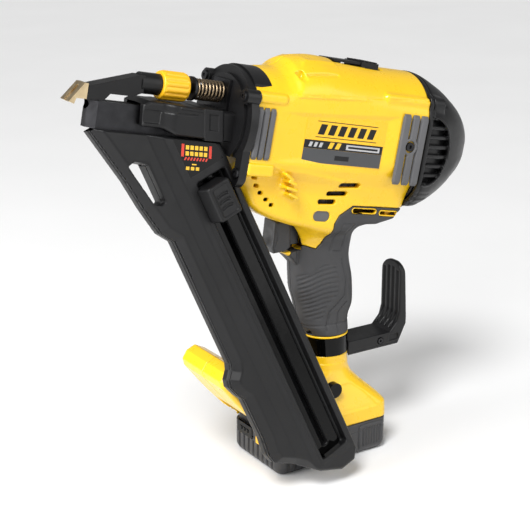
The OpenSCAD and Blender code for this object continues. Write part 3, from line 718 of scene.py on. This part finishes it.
def slot_shade(u, v, w):
    """A black sheet, ribbed, just inside the wall behind the housing's air slots: painted shade that makes the
    slots look dark inside.
    """
    outside = housing_outside(u, v, w)
    sheet = span(outside, -9.6, -7.4)
    rib = np.maximum(stripes(u, 6, 0.8), span(outside, -9.6, -6.4))
    zone = rect(u, w, (12, -62.5), (128, -34))
    return overlap(np.minimum(sheet, rib), zone, 12 - np.abs(v), v)


def yellow_ring(x, y, z):
    return cut(both(handle(x, y, np.maximum(z, 108.6) + 1.5) - 0.3, span(z, 108.5, 110.3), 0.5),
               np.hypot(x - NECK_X, y) - 17)


def make_housing():
    low, high = (0, -45, -215), (175, 1, 62)
    fitted_pair("housing_shell", yellow_shell, low, high, "housing_yellow", "housing_left", "housing_right")
    # The black sheet behind the air slots is painted shade, so that the slots look dark inside.
    fitted_pair("slot_shade_sheet", slot_shade, (11, -40, -63), (129, 0, -33), "cap_black")
    ring = skinned("yellow_ring", yellow_ring, (-8, -22, 107), (37, 22, 112), ROW, FINE)
    fitted(ring, "tool_body", "housing_yellow", materials["housing_yellow"])
    fitted_pair("grip_skin", rubber_shell, low, high, "grip_rubber", "grip_left", "grip_right")


def trigger_field(x, y, z):
    d = both(outline(x, z, TRIGGER), np.abs(y) - 9.4, 2.6)
    d = np.minimum(d, box((x, y, z), (-30, -5.9, 196), (-19.1, 5.9, 213.9), 0.5))
    return cut(d, np.hypot(x - FINGER_X, z - FINGER_Z) - 13 + 0.03 * y ** 2, 1)


def make_trigger():
    def blade(x, y, z):
        edge = np.hypot(x - FINGER_X, z - FINGER_Z) - 16.6 + 0.02 * y ** 2
        return cut(trigger_field(x, y, z), np.maximum(np.abs(edge) - 0.35, 8.9 - np.abs(y)), 0.1)

    obj = skinned("trigger_blade", blade, (-48, -10.5, 190), (-18, 10.5, 220.5), ROW, FINE)
    fitted(obj, "trigger_blade", "black_plastic", materials["trigger_gray"], "trigger")


# ---- Side pads and name plates ----

def ribbed_pad(start, end, low, high, ribs, screw=None):
    """The shape of a side pad with upright ribs, and a ring round a screw where there is one."""
    def field(u, v, w):
        side = np.abs(v)
        pitch = (end - start) / ribs
        wave = np.abs(((u - start) / pitch) % 1 - 0.5) * 2
        crest = 0.9 - 2.2 * ramp(wave, 0.6, 0.95)
        slope = 1.5 * ramp(np.abs(w - (low + high) / 2), (high - low) / 2 - 3, (high - low) / 2)
        proud = side - side_at(u)
        d = both(rect(u, w, (start, low), (end, high), 1), proud - crest + slope, 0.3)
        d = np.maximum(d, -1.5 - proud)
        if screw:
            far = np.hypot(u - screw[0], w - screw[1])
            d = np.minimum(d, np.maximum(np.abs(far - 6.2) - 1.0, span(proud, -1, 1.0)))
            d = cut(d, np.maximum(far - 5, -1.6 - proud))
        return d

    return field


def make_pads():
    for name, screw, (start, end), (low, high) in (
        ("front_pad", None, (2.9, 20.3), (-25.8, 15.4)),
        ("rear_pad", (156, -3), (144.2, 171.6), (-35.8, 23.8)),
    ):
        pad = ribbed_pad(start, end, low, high, 3, screw)
        fitted_pair(name, pad, (start, -45.5, low), (end, -34, high), "pad_rubber", name + "s", step=FINE)


def side_plate(name, points, depth, thick, material):
    """A thin plate on each side of the housing; depth is how far it lies below the pads' seat."""
    ends = []
    for s in (-1, 1):
        near = [(u, s * (side_at(u) - depth), w) for u, w in points]
        far = [(u, s * (side_at(u) - depth - thick), w) for u, w in points]
        ends.append((near, far))
    return fitted(prisms(name, ends, DRIVE), "tool_body", "label", materials[material])


def bar(u0, u1, w0, w1, lean=0.0):
    """A four-sided outline whose top is shifted by lean."""
    return [(u0, w0), (u1, w0), (u1 + lean, w1), (u0 + lean, w1)]


PLATE_DEPTH = 2.45      # how far the name plate lies below the pads' seat
PLATE_THICK = 0.3
PRINT_THICK = 0.1
PRINT_STEP = 0.08       # how far each layer of print stands proud of the one below


def plate_print(name, points, layer, material):
    """Print on the name plates, on the layer counted from the plate."""
    side_plate("plate_" + name, points, PLATE_DEPTH - PRINT_STEP * layer, PRINT_THICK, material)


def make_labels():
    plate = side_plate("name_plate", bar(51, 130.6, -24.4, 14.6), PLATE_DEPTH, PLATE_THICK, "label")
    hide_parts("label_plates")
    plate_print("band", bar(51.6, 130, -12.4, -5.6), 1, "cap_black")
    plate_print("strip", bar(51.6, 130, -24, -12.5), 1, "panel_gray")
    plate_print("window", bar(83.4, 97.5, -20.6, -16.8), 2, "cap_black")
    plate_print("line_top", bar(61.4, 121.7, 9.5, 10.1), 1, "cap_black")
    plate_print("line_low", bar(61.4, 122.3, -3.2, -2.6), 1, "cap_black")
    for i in range(6):
        u = 63 + 9.8 * i
        plate_print(f"bar_{i}", bar(u, u + 6.2, -0.8, 7.6, 2.4), 1, "cap_black")
    plate_print("box", bar(93, 127, -11.2, -7.0), 2, "label_white")
    plate_print("box_line", bar(95, 125, -9.9, -8.3), 3, "cap_black")
    for i in range(3):
        u = 56 + 5 * i
        plate_print(f"tick_{i}", bar(u, u + 2.8, -11, -7.2, 1.2), 2, "label_white")
    for i in range(2):
        u = 75 + 7 * i
        plate_print(f"arrow_{i}", bar(u, u + 4, -11.4, -6.4, 2), 2, "label_yellow")


# ---- Rear cap ----

CAP_START = 172.2
CAP_U = [CAP_START, 178, 186, 194.5, 204, 214, 225, 234, 239.5, 243]
CAP_TOP = [57.2, 56.6, 54.3, 51, 47, 41.5, 34.5, 26, 18, 9]
CAP_LOW = [-59.5, -59.5, -58.5, -55.5, -51.3, -46, -38.5, -30, -23, -16]
CAP_HALF = [44, 43.9, 42.8, 41, 38, 34.5, 29.5, 23.5, 17.5, 10]
VENT_U, VENT_W = 176.8, -5.5        # the middle of the round air outlet on each side
VENT_LONG, VENT_HIGH = 27.5, 29.5


def cap_dome(u, v, w):
    top, low, half = spline(u, CAP_U, CAP_TOP), spline(u, CAP_U, CAP_LOW), spline(u, CAP_U, CAP_HALF)
    side = np.abs(v)
    centre = top - half
    round_top = np.hypot(v, w - centre) - half
    corner = np.minimum(half, 30)
    square = np.hypot(np.maximum(side - half + corner, 0), np.maximum(low - w + corner, 0)) - corner
    d = np.where(w > centre, round_top, np.maximum(square, np.maximum(side - half, low - w)))
    return both(d * 0.75, u - 240.5, 4)


def cap_field(u, v, w):
    dome = cap_dome(u, v, w)
    side = np.abs(v)
    ribs = 0.9 * ramp(np.abs((w / 5.2) % 1 - 0.5), 0.2, 0.4) * ramp(-w, 40, 44) * ramp(-u, -193, -189)
    d = dome + ribs
    screw = np.hypot(side - 35, w - 34.5)
    boss = np.maximum(screw - 6, span(u, CAP_START, 189))
    d = either(d, boss, 3)
    du, dw = u - VENT_U, w - VENT_W
    disc = (np.hypot(du / VENT_LONG, dw / VENT_HIGH) - 1) * VENT_LONG
    opening = overlap(disc, -du, 25 - side)
    slat = np.maximum(stripes(dw, 8.2, 1.7), dome + 1.2)
    vent = np.maximum(opening, -dome - 4.5)
    d = np.minimum(cut(d, vent, 0.6), np.maximum(slat, vent))
    d = np.minimum(d, np.maximum(np.abs(opening) - 0.8, np.abs(dome) - 0.7))
    d = cut(d, np.maximum(screw - 3.2, 181 - u), 0.5)
    seam = np.abs(u - 176.5) - 0.5
    d = cut(d, np.maximum(seam, -dome - 0.7))
    inside = np.maximum(cap_dome(u + 3, v, w) + 3.2, -(dome + 4.6))
    d = cut(d, np.maximum(inside, u - 234))
    return np.maximum(d, CAP_START - u)


def make_cap():
    cap = skinned("cap_shell", cap_field, (171, -46, -62), (250, 46, 60), DRIVE)
    fitted(cap, "tool_body", "cap_black", materials["cap_black"], "rear_cap")


# ---- Foot, under the handle ----

NECK_Z = 84.5       # above it the neck is round, so the hook can turn about it
FOOT_Z = [31.3, 44, 50, 57, 66, 73, 80, 92]
FOOT_REAR = [58.7, 58.5, 55, 48.5, 40, 35.6, 34.5, 34.4]
FOOT_FRONT = [-58.5, -58.4, -55, -47, -34, -18, -8, -6.5]
FOOT_HALF = [38, 37.9, 36, 32.5, 27, 23, 20.8, 20.4]
FOOT_CORNER = [9, 9.5, 12, 14, 17, 19, 20.2, 20.4]
PROW = [(-109, 92), (-110.5, 98), (-106, 105), (-98, 108.5), (-89, 104), (-60, 82), (-20, 76), (-20, 47),
        (-60, 38), (-72, 48), (-86, 63.5), (-98, 78)]


def foot_outside(x, y, z):
    front, rear = spline(z, FOOT_Z, FOOT_FRONT), spline(z, FOOT_Z, FOOT_REAR)
    half, corner = spline(z, FOOT_Z, FOOT_HALF), spline(z, FOOT_Z, FOOT_CORNER)
    d = both(section(x, y, front, rear, half, corner) * 0.8, span(z, 31.3, 91.7), 0.6)
    prow = both(outline(x, z, PROW), span(y, -31.8, 37.8), 5)
    d = either(d, prow, 7)
    return np.where((z > NECK_Z) & (x > -24), np.maximum(d, np.hypot(x - NECK_X, y) - 20.2), d)


def foot_field(x, y, z):
    d = foot_outside(x, y, z)
    panel = outline(x, z, [(-44, 44), (46, 44), (34, 58), (24, 66), (6, 66), (-20, 60)])
    d = d + 0.9 * ramp(-panel, -0.6, 0.8) * ramp(np.abs(y), 18, 22)
    d = np.minimum(d, np.maximum(np.hypot(x - NECK_X, y) - 17, span(z, 85, 108.2)))
    hollow = np.minimum(box((x, y, z), (-70, -35.8, 20), (56.5, 35.8, 44.5), 5.5),
                        box((x, y, z), (-90, -28, 20), (44, 28, 59), 3))
    hollow = np.minimum(hollow, np.maximum(np.hypot(x - NECK_X, y) - 12, span(z, 50, 120)))
    d = cut(d, hollow)
    bolt = np.maximum(np.hypot(x - 1, z - 67) - 7.2, y + 29.9)
    return cut(d, bolt, 0.4)


def foot_half(side):
    """The foot's half on one side: -1 for the left and 1 for the right."""
    def field(x, y, z):
        return both(foot_field(x, y, z), -side * y + 0.06, 0.3)

    return field


def make_foot():
    for name, side, near, far in (("foot_left", -1, -42, 0), ("foot_right", 1, 0, 42)):
        foot = skinned(name, foot_half(side), (-114, near, 29), (62, far, 110))
        fitted(foot, "tool_body", "housing_yellow", materials["housing_yellow"])


# ---- Magazine ----

WING = [(-80, -121), (-54, -116.7), (0, -106), (26, -103), (50, -98.5), (57, -94), (61, -91.3), (173, -92),
        (178, -94), (184, -100), (190, -101.5), (200, -98), (206, -94.6), (244, -94.5), (260, -96.4),
        (269, -94), (281, -79), (296, -64), (307.5, -45), (307.5, -30), (299.5, -23.3), (-80, -23.3)]
WINDOW = [(-9, -100.5), (-9.6, -95.7), (-3, -87), (28, -87.2), (28.5, -90), (25, -95)]
SPLIT_T = -4.2
TRACK_Q, TRACK_M = (-58.5, -30), (28, 288)
NOSE_UNDER = -17.1      # underside of the nose, in the drive frame


def drive_of_magazine(q, t, z):
    return through(DRIVE.inverted() @ MAGAZINE, q, t, z)


def magazine_outside(q, t, z):
    m = -z
    edge = outline(m, q, WING)
    near = -11 - 6 * np.clip((q + 77.5) / 9, 0, 1)
    d = both(edge, (near - t) * 0.85, 0.8)
    bevel = (edge + near - t + 2 + 4.5 * ramp(-q, 66, 72)) * 0.7
    d = both(both(d, bevel, 0.5), t - 7, 1.5)
    _, _, w = drive_of_magazine(q, t, z)
    d = both(d, w - NOSE_UNDER, 1)
    d = cut(d, outline(m, q, WINDOW, 1), 0.8)
    line = np.maximum(np.abs(t + 1.5) - 0.8, -edge - 1.2)
    rim = np.maximum(np.abs(rect(q, m, (-62, 60), (-27, 293), 3)) - 0.55, t - near - 0.7)
    return cut(cut(d, line), rim)


def magazine_near(q, t, z):
    m = -z
    d = np.maximum(magazine_outside(q, t, z), t - SPLIT_T + 0.04)
    track = both(rect(q, m, (TRACK_Q[0], TRACK_M[0]), (TRACK_Q[1], TRACK_M[1]), 2), t + 9, 0.2)
    d = cut(d, track, 0.5)
    return cut(d, rect(q, m, (-50, TRACK_M[0]), (-44, TRACK_M[1] - 6), 2))


def magazine_far(q, t, z):
    d = np.maximum(magazine_outside(q, t, z), SPLIT_T + 0.04 - t)
    return cut(d, box((q, t, -z), (-85, -10, -90), (-25, 4.2, 330)))


def make_magazine():
    low, high = (-122, -18, -309), (-22, 8, 45)
    black = materials["black_plastic"]
    near = skinned("magazine_shell_near", magazine_near, low, high, MAGAZINE)
    fitted(near, "tool_body", "black_plastic", black, "magazine_left")
    far = skinned("magazine_shell_far", magazine_far, low, high, MAGAZINE)
    fitted(far, "tool_body", "black_plastic", black, "magazine_right", "magazine_wing")

    def strips(q, t, z):
        d = rect(q, -z, (TRACK_Q[0] + 0.2, TRACK_M[0] + 0.5), (TRACK_Q[1] - 0.2, TRACK_M[1] - 0.5), 2)
        d = both(d, span(t, -9.9, -8.9), 0.2)
        return cut(d, rect(q, -z, (-50, 20), (-44, TRACK_M[1] - 6), 2), 0.3)

    strip = skinned("track_strips", strips, (-59, -11, -289), (-34, -8, -27), MAGAZINE, FINE)
    fitted(strip, "tool_body", "gloss_black", materials["gloss_black"])


def knob_field(q, t, z):
    m = -z
    flare = np.clip((t + 30) / 13, 0, 1)
    sides = both(q + 38.2 - 1.8 * flare, -q - 59 - 2.5 * flare, 1.5)
    d = both(both(sides, span(m, 32.5, 61.5), 2), span(t, -30, -9.7), 1.5)
    rim = rect(q, m, (-56, 35), (-41, 59), 2)
    d = cut(d, np.maximum(rim, t + 29.2), 0.6)
    for at in (42, 47, 52):
        bend = at + 0.03 * (q + 48.5) ** 2
        groove = np.maximum(np.abs(m - bend) - 1.0, np.abs(q + 48.5) - 5.5)
        d = cut(d, np.maximum(groove, t + 28), 0.5)
    return np.maximum(d, np.where(t > -17.15, np.maximum(-q - 57.4, q + 36.3), -1))


def make_knob():
    knob = skinned("knob_shell", knob_field, (-63, -31, -63), (-35, -9, -31), MAGAZINE, FINE)
    fitted(knob, "pusher_unit", "black_plastic", materials["black_plastic"], "pusher_knob")


def magazine_patch(name, points, rise, material):
    """A thin flat patch, rise proud of the magazine's near face; points are (q, m)."""
    near = [(q, RIDGE_T - rise, -m) for q, m in points]
    far = [(q, RIDGE_T + LABEL_SUNK, -m) for q, m in points]
    fitted(prisms(name, [(near, far)], MAGAZINE), "tool_body", "label", materials[material])


LABEL_AT = (-62, -12)       # the label's upper front corner, as q and m
LABEL_TURN = math.acos(drive_x.dot(mag_across.cross(-mag_down)))
RIDGE_T = -17               # the magazine's near face
LABEL_SUNK = 0.1            # how far the label reaches into it


def on_label(*points):
    """Label places (along the tool, and down) as q and m."""
    c, n = math.cos(LABEL_TURN), math.sin(LABEL_TURN)
    return [(LABEL_AT[0] + a * c - b * n, LABEL_AT[1] + a * n + b * c) for a, b in points]


def label_bar(name, a0, a1, b0, b1, material, lean=0.0):
    """A bar on the label, with its lower end shifted forward by lean."""
    points = on_label((a0, b0), (a1, b0), (a1 - lean, b1), (a0 - lean, b1))
    magazine_patch(name, points, 0.08, material)


def make_magazine_label():
    panel = [(-61.6, -12), (-29, 8), (-28.4, 21), (-61.6, 21)]
    magazine_patch("label_panel", panel, 0.06, "gloss_black")
    label_bar("label_end_front", 8.2, 10.6, 2.4, 12, "label_red")
    label_bar("label_end_rear", 33, 35.4, 2.4, 12, "label_red")
    for row, b in enumerate((3.2, 7.8)):
        for i in range(5):
            a = 12 + 4.1 * i
            label_bar(f"label_mark_{row}_{i}", a, a + 3, b, b + 3.2, "label_yellow")
    for i in range(8):
        a = 12 + 2.7 * i
        label_bar(f"label_hatch_{i}", a, a + 1.5, 12.2, 14.6, "label_red", 1.2)
    for i in range(3):
        a = 13 + 4.4 * i
        label_bar(f"label_block_{i}", a, a + 3, 19.4, 22, "label_yellow")
    label_bar("label_stroke", 18.2, 22.2, 17, 18, "label_yellow")


# ---- Nose: depth wheel, springs and cover ----

ROD_W = 20                  # the contact rod's height
GUIDE_V, GUIDE_W = 14, 1.5  # where the driver's two guide rods run
RETURN_SPAN = (15, 116.8)   # the ends of the springs on them


def wheel_field(u, v, w):
    r, turn = np.hypot(v, w - ROD_W), np.arctan2(v, w - ROD_W)
    flute = 0.5 - 0.5 * np.cos(14 * turn)
    middle = ramp(-np.abs(u + 55), -10.5, -9)
    rim = 11.4 - 0.9 * flute ** 2 * middle - 0.5 * (1 - middle)
    d = both(r - rim, span(u, -66.6, -43.4), 1.2)
    return cut(d, r - 4.2)


def tube_mesh(path, radius, sides=10):
    """Points and faces of a round tube along the path."""
    path = np.array(path, float)
    along = np.gradient(path, axis=0)
    along /= np.linalg.norm(along, axis=1)[:, None]
    up = np.cross(along, (1.0, 0.02, 0.01))
    up /= np.linalg.norm(up, axis=1)[:, None]
    out = np.cross(along, up)
    angles = np.linspace(0, 2 * np.pi, sides, endpoint=False)
    ring = np.cos(angles)[:, None] * up[:, None] + np.sin(angles)[:, None] * out[:, None]
    points = (path[:, None] + radius * ring).reshape(-1, 3)
    i = np.arange(len(path) - 1)[:, None] * sides
    j = np.arange(sides)[None, :]
    k = (j + 1) % sides
    faces = np.stack([i + j, i + k, i + sides + k, i + sides + j], -1).reshape(-1, 4)
    return points, faces


def coil(name, body, ends, v, w, radius, wire, turns):
    """A helical spring from ends[0] to ends[1]; body is not used."""
    a = np.linspace(0, turns * 2 * np.pi, int(turns * 26))
    reach = np.linspace(ends[0], ends[1], len(a))
    path = np.stack([reach, v + radius * np.cos(a), w + radius * np.sin(a)], 1)
    points, faces = tube_mesh(path, wire)
    mesh = mesh_of(name, points * MM, faces)
    mesh.transform(DRIVE)
    obj = new_object(name, mesh)
    mesh.materials.append(materials["spring_steel"])
    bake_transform(obj)
    return obj


def make_springs():
    contact = coil("spring_coil", "contact_carrier", (-10.5, -37.5), 0, ROD_W, 7.6, 0.95, 8.5)
    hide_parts("contact_spring")
    shape = (GUIDE_W, 4.1, 0.6, 30)
    left = coil("return_coil_left", "driver", RETURN_SPAN, -GUIDE_V, *shape)
    coil("return_coil_right", "driver", RETURN_SPAN, GUIDE_V, *shape)
    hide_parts("return_springs")


def make_wheel():
    wheel = skinned("wheel_ring", wheel_field, (-68, -12, 8), (-42, 12, 32), DRIVE, FINE)
    fitted(wheel, "wheel", "knob_yellow", materials["knob_yellow"], "depth_wheel")


COVER_SIDE = [(-85.5, 5.5), (-80, 8.6), (-62, 8.4), (0.6, 6.5), (0.6, -16.6), (-58, -14.6), (-66, -11.5),
              (-84, -11)]


def cover_field(u, v, w):
    wide = 23.5 - 6 * ramp(-u, 58, 70)
    d = both(outline(u, w, COVER_SIDE), np.abs(v) - wide, 2.4)
    ledge_line = np.maximum(np.abs(w - 3.6 - 0.03 * u) - 0.45, wide - 0.7 - np.abs(v))
    d = cut(d, np.maximum(ledge_line, u + 40), 0.2)
    step = np.maximum(rect(u, w, (-84, -8), (-70, 2), 1), wide - 1.2 - np.abs(v))
    d = cut(d, step, 0.4)
    lip = both(span(w + 0.03 * u, 3.8, 5.8), np.abs(v) - wide - 0.9, 0.6)
    d = np.minimum(d, np.maximum(lip, span(u, -57, -36)))
    clip = both(np.abs(u + 26.5 + 0.18 * (w + 3)) - 8.6, np.abs(v) - wide - 1.5, 0.9)
    clip = np.maximum(clip, span(w, -16.4, 8))
    ribs = np.maximum(np.abs(u + 26.5 + 0.18 * (w + 3)) - 4, wide + 0.6 - np.abs(v))
    d = np.minimum(d, cut(clip, np.maximum(ribs, span(w, -8, 4)), 0.5))
    return cut(d, box((u, v, w), (-100, -11, -40), (10, 11, 5.2)))


def make_nose():
    cover = skinned("nose_shell", cover_field, (-87, -26, -18), (2, 26, 10.5), DRIVE, FINE)
    fitted(cover, "tool_body", "black_plastic", materials["black_plastic"], "nose_cover", "nose_clip")


# ---- Battery pack ----

PACK_LOW, PACK_HIGH = (-58.2, -37.9), (58.2, 37.9)


def pack_field(x, y, z):
    turn = rect(x, y, PACK_LOW, PACK_HIGH, 9)
    d = both(turn + 4.5 * (np.clip(8 - z, 0, 8) / 8) ** 2, span(z, 0.2, 30.6), 1.2)
    side = PACK_HIGH[1] - np.abs(y)
    panel = rect(x, z, (26, 3.5), (54.5, 28), 4)
    d = cut(d, np.maximum(np.abs(panel) - 0.6, side - 1.1), 0.2)
    ribs = np.maximum(stripes(x, 3, 0.8), side - 1.1)
    d = cut(d, np.maximum(ribs, rect(x, z, (30, 7), (50.5, 24.5), 1)), 0.2)
    dots = np.hypot(stripes(x, 3.1, 0), z - 26.1) - 0.5
    d = cut(d, overlap(dots, side - 0.6, span(x, 29, 52)), 0.1)
    grooves = np.maximum(stripes(x, 7.5, 1.3), side - 1.9)
    d = cut(d, np.maximum(grooves, rect(x, z, (-50, 2), (16, 19), 1)), 0.5)
    end = np.maximum(stripes(y, 7.5, 1.3), x + 56.4)
    d = cut(d, np.maximum(end, rect(y, z, (-30, 2), (30, 19), 1)), 0.5)
    d = cut(d, np.maximum(np.abs(z - 22.5) - 0.4, -turn - 0.8), 0.2)
    return cut(d, box((x, y, z), (-54, -33.4, 3), (54, 33.4, 40), 6))


def make_battery():
    pack = skinned("pack_shell", pack_field, (-59, -39, 0), (59, 39, 31.5))
    fitted(pack, "battery_pack", "pack_grey", materials["pack_grey"], "battery_case")


# ---- Yellow end cover ----

def end_cover_field(u, v, w):
    r = np.hypot(v, w + 4)
    d = both(r - 13, span(u, 234, 245.5), 3.5)
    d = cut(d, np.maximum(np.abs(r - 7.5) - 0.6, 244.7 - u), 0.3)
    slots = np.maximum(stripes(w + 4, 4, 0.6), np.maximum(r - 6, 244.5 - u))
    return cut(d, slots, 0.2)


def make_cover():
    cover = skinned("end_cover", end_cover_field, (235, -15, -20), (249, 15, 12), DRIVE, FINE)
    fitted(cover, "tool_body", "housing_yellow", materials["housing_yellow"], "rear_cover")


# ---- Rafter hook ----

HOOK = [(30, 86), (86, 86), (95, 104), (95, 112), (92.5, 155), (91.5, 161.5), (88.2, 161.5), (87.2, 155),
        (87.2, 116), (84.5, 106.5), (77, 98.5), (30, 98.5)]


def hook_field(x, y, z):
    d = both(outline(x, z, HOOK), np.abs(y) - 14, 1.0)
    tip = np.hypot(np.maximum(np.abs(y) - 2, 0), np.maximum(z - 149.5, 0)) - 12
    d = both(d, np.where(z > 149.5, tip, -50), 0.8)
    inner = 87.2 - 0.55 * np.maximum(113 - z, 0)
    for at in (-9.3, -3.1, 3.1, 9.3):
        reach = span(z, 101, 157 - 0.35 * abs(at))
        d = cut(d, overlap(np.abs(y - at) - 1.5, x - inner - 1.5, reach), 0.8)
    d = cut(d, np.maximum(rect(x, z, (76, 90.5), (86, 96.5), 1), 12.6 - np.abs(y)), 0.3)
    d = cut(d, np.hypot(x - 66, z - 92.5) - 3.1, 0.3)
    lines = np.maximum(np.abs(z - 88.4) - 0.3, 13.6 - np.abs(y))
    d = cut(d, np.maximum(lines, span(x, 36, 84)))
    return cut(d, np.hypot(x - NECK_X, y) - 20.9)


def make_hook():
    hook = skinned("hook_arm", hook_field, (28, -15, 85), (97, 15, 163), ROW, FINE)
    fitted(hook, "hook", "black_plastic", materials["black_plastic"], "rafter_hook")


# ---- Camera, floor and light ----

CAMERA_AT = (-0.6026, -0.8567, 0.5099)
AZIMUTH, ELEVATION = 32.9, 17.9
SENSOR_MM, LENS_MM = 36, 86.76


def make_camera():
    data = bpy.data.cameras.new("camera")
    data.sensor_width = SENSOR_MM
    data.lens = LENS_MM
    data.clip_start = 0.05
    camera = new_object("camera", data)
    camera.location = CAMERA_AT
    camera.rotation_euler = (math.radians(90 - ELEVATION), 0, -math.radians(AZIMUTH))
    bpy.context.scene.camera = camera


def make_floor():
    bpy.ops.mesh.primitive_plane_add(size=60, location=(0, 0, 0))
    floor = bpy.context.object
    floor.name = "floor"
    s = Shader("floor", Roughness=0.7)
    s.colours(s.noise(300, 2), (0.3, (0.90, 0.90, 0.90)), (0.7, (0.92, 0.92, 0.92)))
    floor.data.materials.append(s.material)
    floor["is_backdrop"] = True


def area_light(name, at, aim, size, watts):
    data = bpy.data.lights.new(name, "AREA")
    data.shape = "RECTANGLE"
    data.size, data.size_y = size
    data.energy = watts
    light = new_object(name, data)
    light.location = at
    light.rotation_euler = (Vector(aim) - Vector(at)).to_track_quat("-Z", "Y").to_euler()


def sun_light(name, towards, strength, spread):
    data = bpy.data.lights.new(name, "SUN")
    data.energy = strength
    data.angle = math.radians(spread)
    light = new_object(name, data)
    light.rotation_euler = (-Vector(towards)).to_track_quat("-Z", "Y").to_euler()


def make_lights():
    world = bpy.data.worlds.new("studio")
    bpy.context.scene.world = world
    world.use_nodes = True
    sky = world.node_tree.nodes["Background"]
    sky.inputs["Color"].default_value = (1, 1, 1, 1)
    sky.inputs["Strength"].default_value = 0.26
    sun_light("key", (-0.75, -0.55, 1.2), 2.0, 20)
    sun_light("fill", (0.7, -1.2, 0.6), 0.9, 50)
    area_light("gloss", (-0.9, -0.7, 1.2), (0, 0, 0.25), (0.5, 0.9), 9)
    area_light("side", (-1.5, 0.1, 0.55), (0, 0, 0.22), (0.9, 0.9), 18)
    bpy.context.scene.view_settings.view_transform = "Standard"


make_camera()
make_floor()
make_lights()
dress_frame()
make_housing()
make_trigger()
make_pads()
make_labels()
make_cap()
make_foot()
make_magazine()
make_knob()
make_magazine_label()
make_cover()
make_nose()
make_battery()
make_wheel()
make_springs()
make_hook()


def corners(b):
    return [list(map(float, c)) for c in b]


{"cad": corners(cad_box), "visual": corners(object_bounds())}
